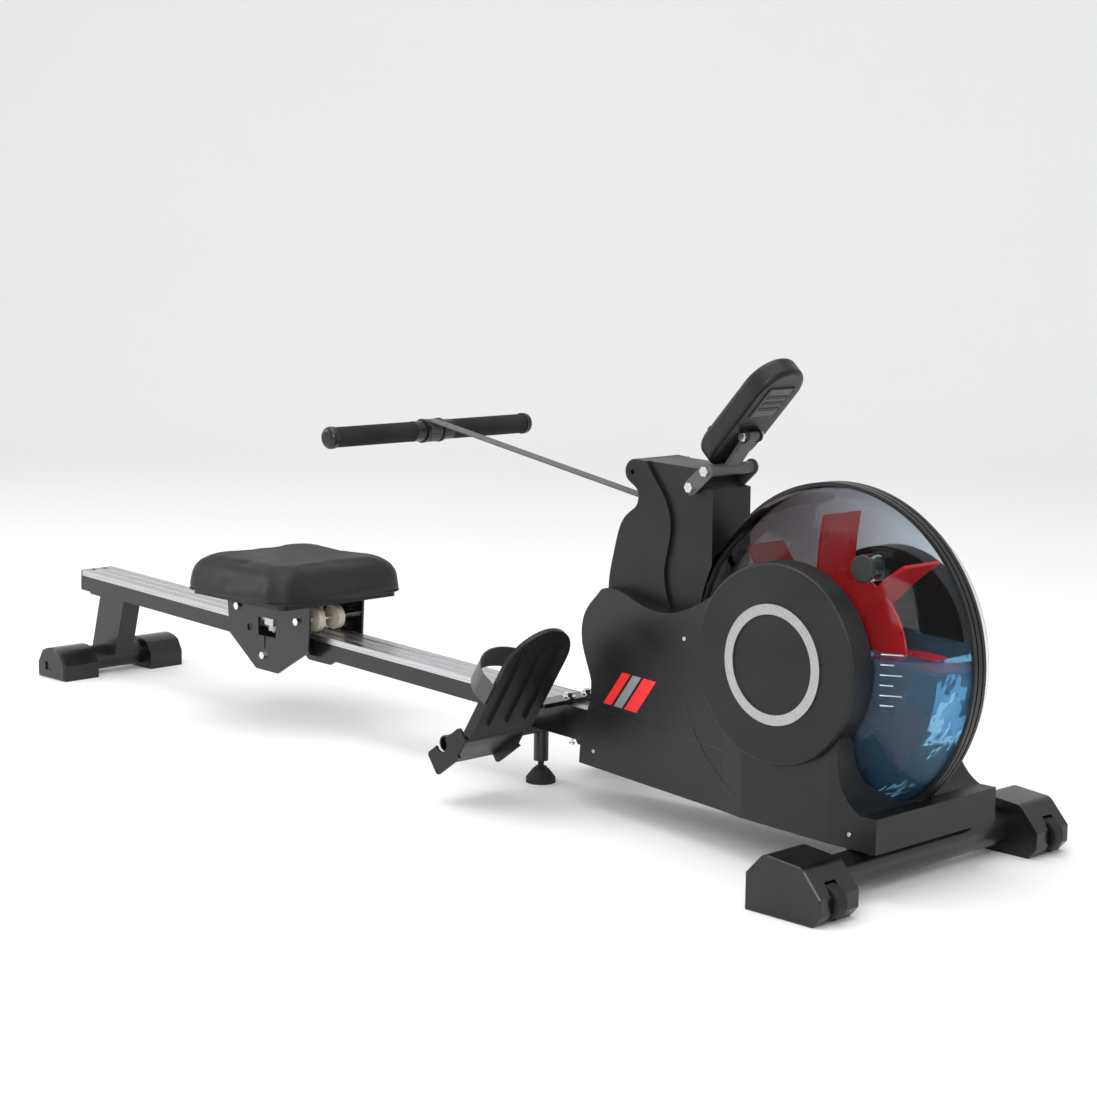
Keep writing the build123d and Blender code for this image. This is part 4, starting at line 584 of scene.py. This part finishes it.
def make_battery_door():
    """Battery door and its three ribs on the back of the computer."""
    back = Vector(joints["button_press"]["axis"])
    upward = Vector((-back.z, 0, back.x))
    if upward.z < 0:
        upward = -upward
    low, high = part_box("console_back"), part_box("console_front")
    middle = (low[0] + low[1] + high[0] + high[1]) / 4
    face = middle + back * CONSOLE_BACK_DEPTH
    across = Vector((0, 1, 0))
    for name, shift, size_up, size_across, thick in DOOR_PIECES:
        mesh = bmesh.new()
        bmesh.ops.create_cube(mesh, size=1)
        for vertex in mesh.verts:
            local = vertex.co.copy()
            vertex.co = (
                face
                + upward * (shift + local.x * size_up) * MM
                + across * local.y * size_across * MM
                + back * (local.z + 0.4) * thick * MM
            )
        bmesh.ops.bevel(mesh, geom=mesh.edges[:], offset=0.7 * MM, segments=2, affect="EDGES")
        data = bpy.data.meshes.new(name)
        mesh.to_mesh(data)
        mesh.free()
        place(data, name, looks["grey_paint"], "console", "grey_paint")


TANK_CORE_R = 70 * MM  # flat middle of the tank's side
TANK_HALF_WIDTH = 114 * MM


def make_level_marks():
    """Column of short printed level ticks on the right-hand face of the tank."""
    low, high, middle = box_of("tank_shell_right")
    side_r = (high.z - low.z) / 2 - TANK_CORE_R
    for step in range(6):
        x = middle.x + 150 * MM
        z = middle.z + (30 - 14 * step) * MM
        reach = math.hypot(x - middle.x, z - middle.z)
        depth = TANK_HALF_WIDTH * math.sqrt(1 - ((reach - TANK_CORE_R) / side_r) ** 2) + 0.8 * MM
        length = (16 if step % 2 else 26) * MM
        corners = [
            (x, -depth, z),
            (x + length, -depth + length * 0.55, z),
            (x + length, -depth + length * 0.55, z + 1.6 * MM),
            (x, -depth, z + 1.6 * MM),
        ]
        quad_plate(f"level_mark_{step + 1}", corners, 0.3 * MM, print_white, "frame", "silver_trim")


make_cover_details()
make_battery_door()
make_stripes()
make_level_marks()


# ---------------------------------------------------------------- floor, light and camera
def make_floor():
    """Plain pale floor that sweeps up behind the machine into a backdrop."""
    away = Vector((-math.sin(math.radians(45)), math.cos(math.radians(45)), 0))
    across = Vector((away.y, -away.x, 0))
    near_end, flat_end, bend, top, reach, steps = -12.0, 4.5, 3.0, 14.0, 24.0, 16
    profile = [(near_end, 0.0), (flat_end, 0.0)]
    for step in range(1, steps + 1):
        angle = math.radians(90 * step / steps)
        profile.append((flat_end + bend * math.sin(angle), bend * (1 - math.cos(angle))))
    profile.append((flat_end + bend, top))
    points, faces = [], []
    for distance, height in profile:
        for end in (-reach, reach):
            spot = away * distance + across * end
            points.append((spot.x, spot.y, height))
    for index in range(len(profile) - 1):
        first = 2 * index
        faces.append((first, first + 1, first + 3, first + 2))
    mesh = bpy.data.meshes.new("floor")
    mesh.from_pydata(points, [], faces)
    smooth(mesh)
    obj = bpy.data.objects.new("floor", mesh)
    bpy.context.scene.collection.objects.link(obj)
    material, shader = new_material("floor")
    cloud = noise(material, 0.6)
    tone = tint(material, cloud.outputs["Fac"], (0.88, 0.88, 0.88), (0.91, 0.91, 0.91))
    material.node_tree.links.new(tone, shader.inputs["Base Color"])
    shader.inputs["Roughness"].default_value = 0.6
    shader.inputs["Specular IOR Level"].default_value = 0.2
    mesh.materials.append(material)


def area_light(name, place_at, aim, size, power):
    """Soft square light."""
    data = bpy.data.lights.new(name, "AREA")
    data.size = size
    data.energy = power
    obj = bpy.data.objects.new(name, data)
    obj.location = place_at
    obj.rotation_mode = "QUATERNION"
    obj.rotation_quaternion = (Vector(aim) - Vector(place_at)).to_track_quat("-Z", "Y")
    bpy.context.scene.collection.objects.link(obj)


def make_light():
    """Bright even studio: a white surround, a large top light and two side lights."""
    world = bpy.data.worlds.new("studio")
    world.use_nodes = True
    world.node_tree.nodes["Background"].inputs["Color"].default_value = (1, 1, 1, 1)
    world.node_tree.nodes["Background"].inputs["Strength"].default_value = 0.85
    bpy.context.scene.world = world
    area_light("top_light", (0.2, -0.4, 3.2), (0.2, 0, 0.2), 3.0, 60)
    area_light("key_light", (2.6, -3.2, 2.2), (0.4, 0, 0.3), 2.0, 70)
    area_light("side_light", (-3.0, -2.0, 1.6), (-0.2, 0, 0.3), 2.0, 35)


CAMERA_ANGLES = (45.367, 8.309, 0.794)  # azimuth, elevation and roll in degrees
CAMERA_LENS = 77.25
CAMERA_PLACE = (2.860, -2.594, 0.920)
CAMERA_TANK_X = 820 * MM  # where the middle of the tank is when the camera is at that place


def make_camera():
    """Camera at the product view: to the front right of the machine and a little above it."""
    azimuth, elevation, roll = (math.radians(angle) for angle in CAMERA_ANGLES)
    back = Vector(
        (
            math.sin(azimuth) * math.cos(elevation),
            -math.cos(azimuth) * math.cos(elevation),
            math.sin(elevation),
        )
    )
    data = bpy.data.cameras.new("camera")
    data.sensor_width = 36
    data.lens = CAMERA_LENS
    obj = bpy.data.objects.new("camera", data)
    shift = (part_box("tank_shell_right")[0].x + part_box("tank_shell_right")[1].x) / 2 - CAMERA_TANK_X
    obj.location = Vector((CAMERA_PLACE[0] + shift, *CAMERA_PLACE[1:]))
    obj.rotation_euler = (-back).to_track_quat("-Z", "Y").to_euler()
    obj.rotation_euler.rotate_axis("Z", roll)
    bpy.context.scene.collection.objects.link(obj)
    bpy.context.scene.camera = obj


make_floor()
make_light()
make_camera()
bpy.context.scene.view_settings.view_transform = "Standard"
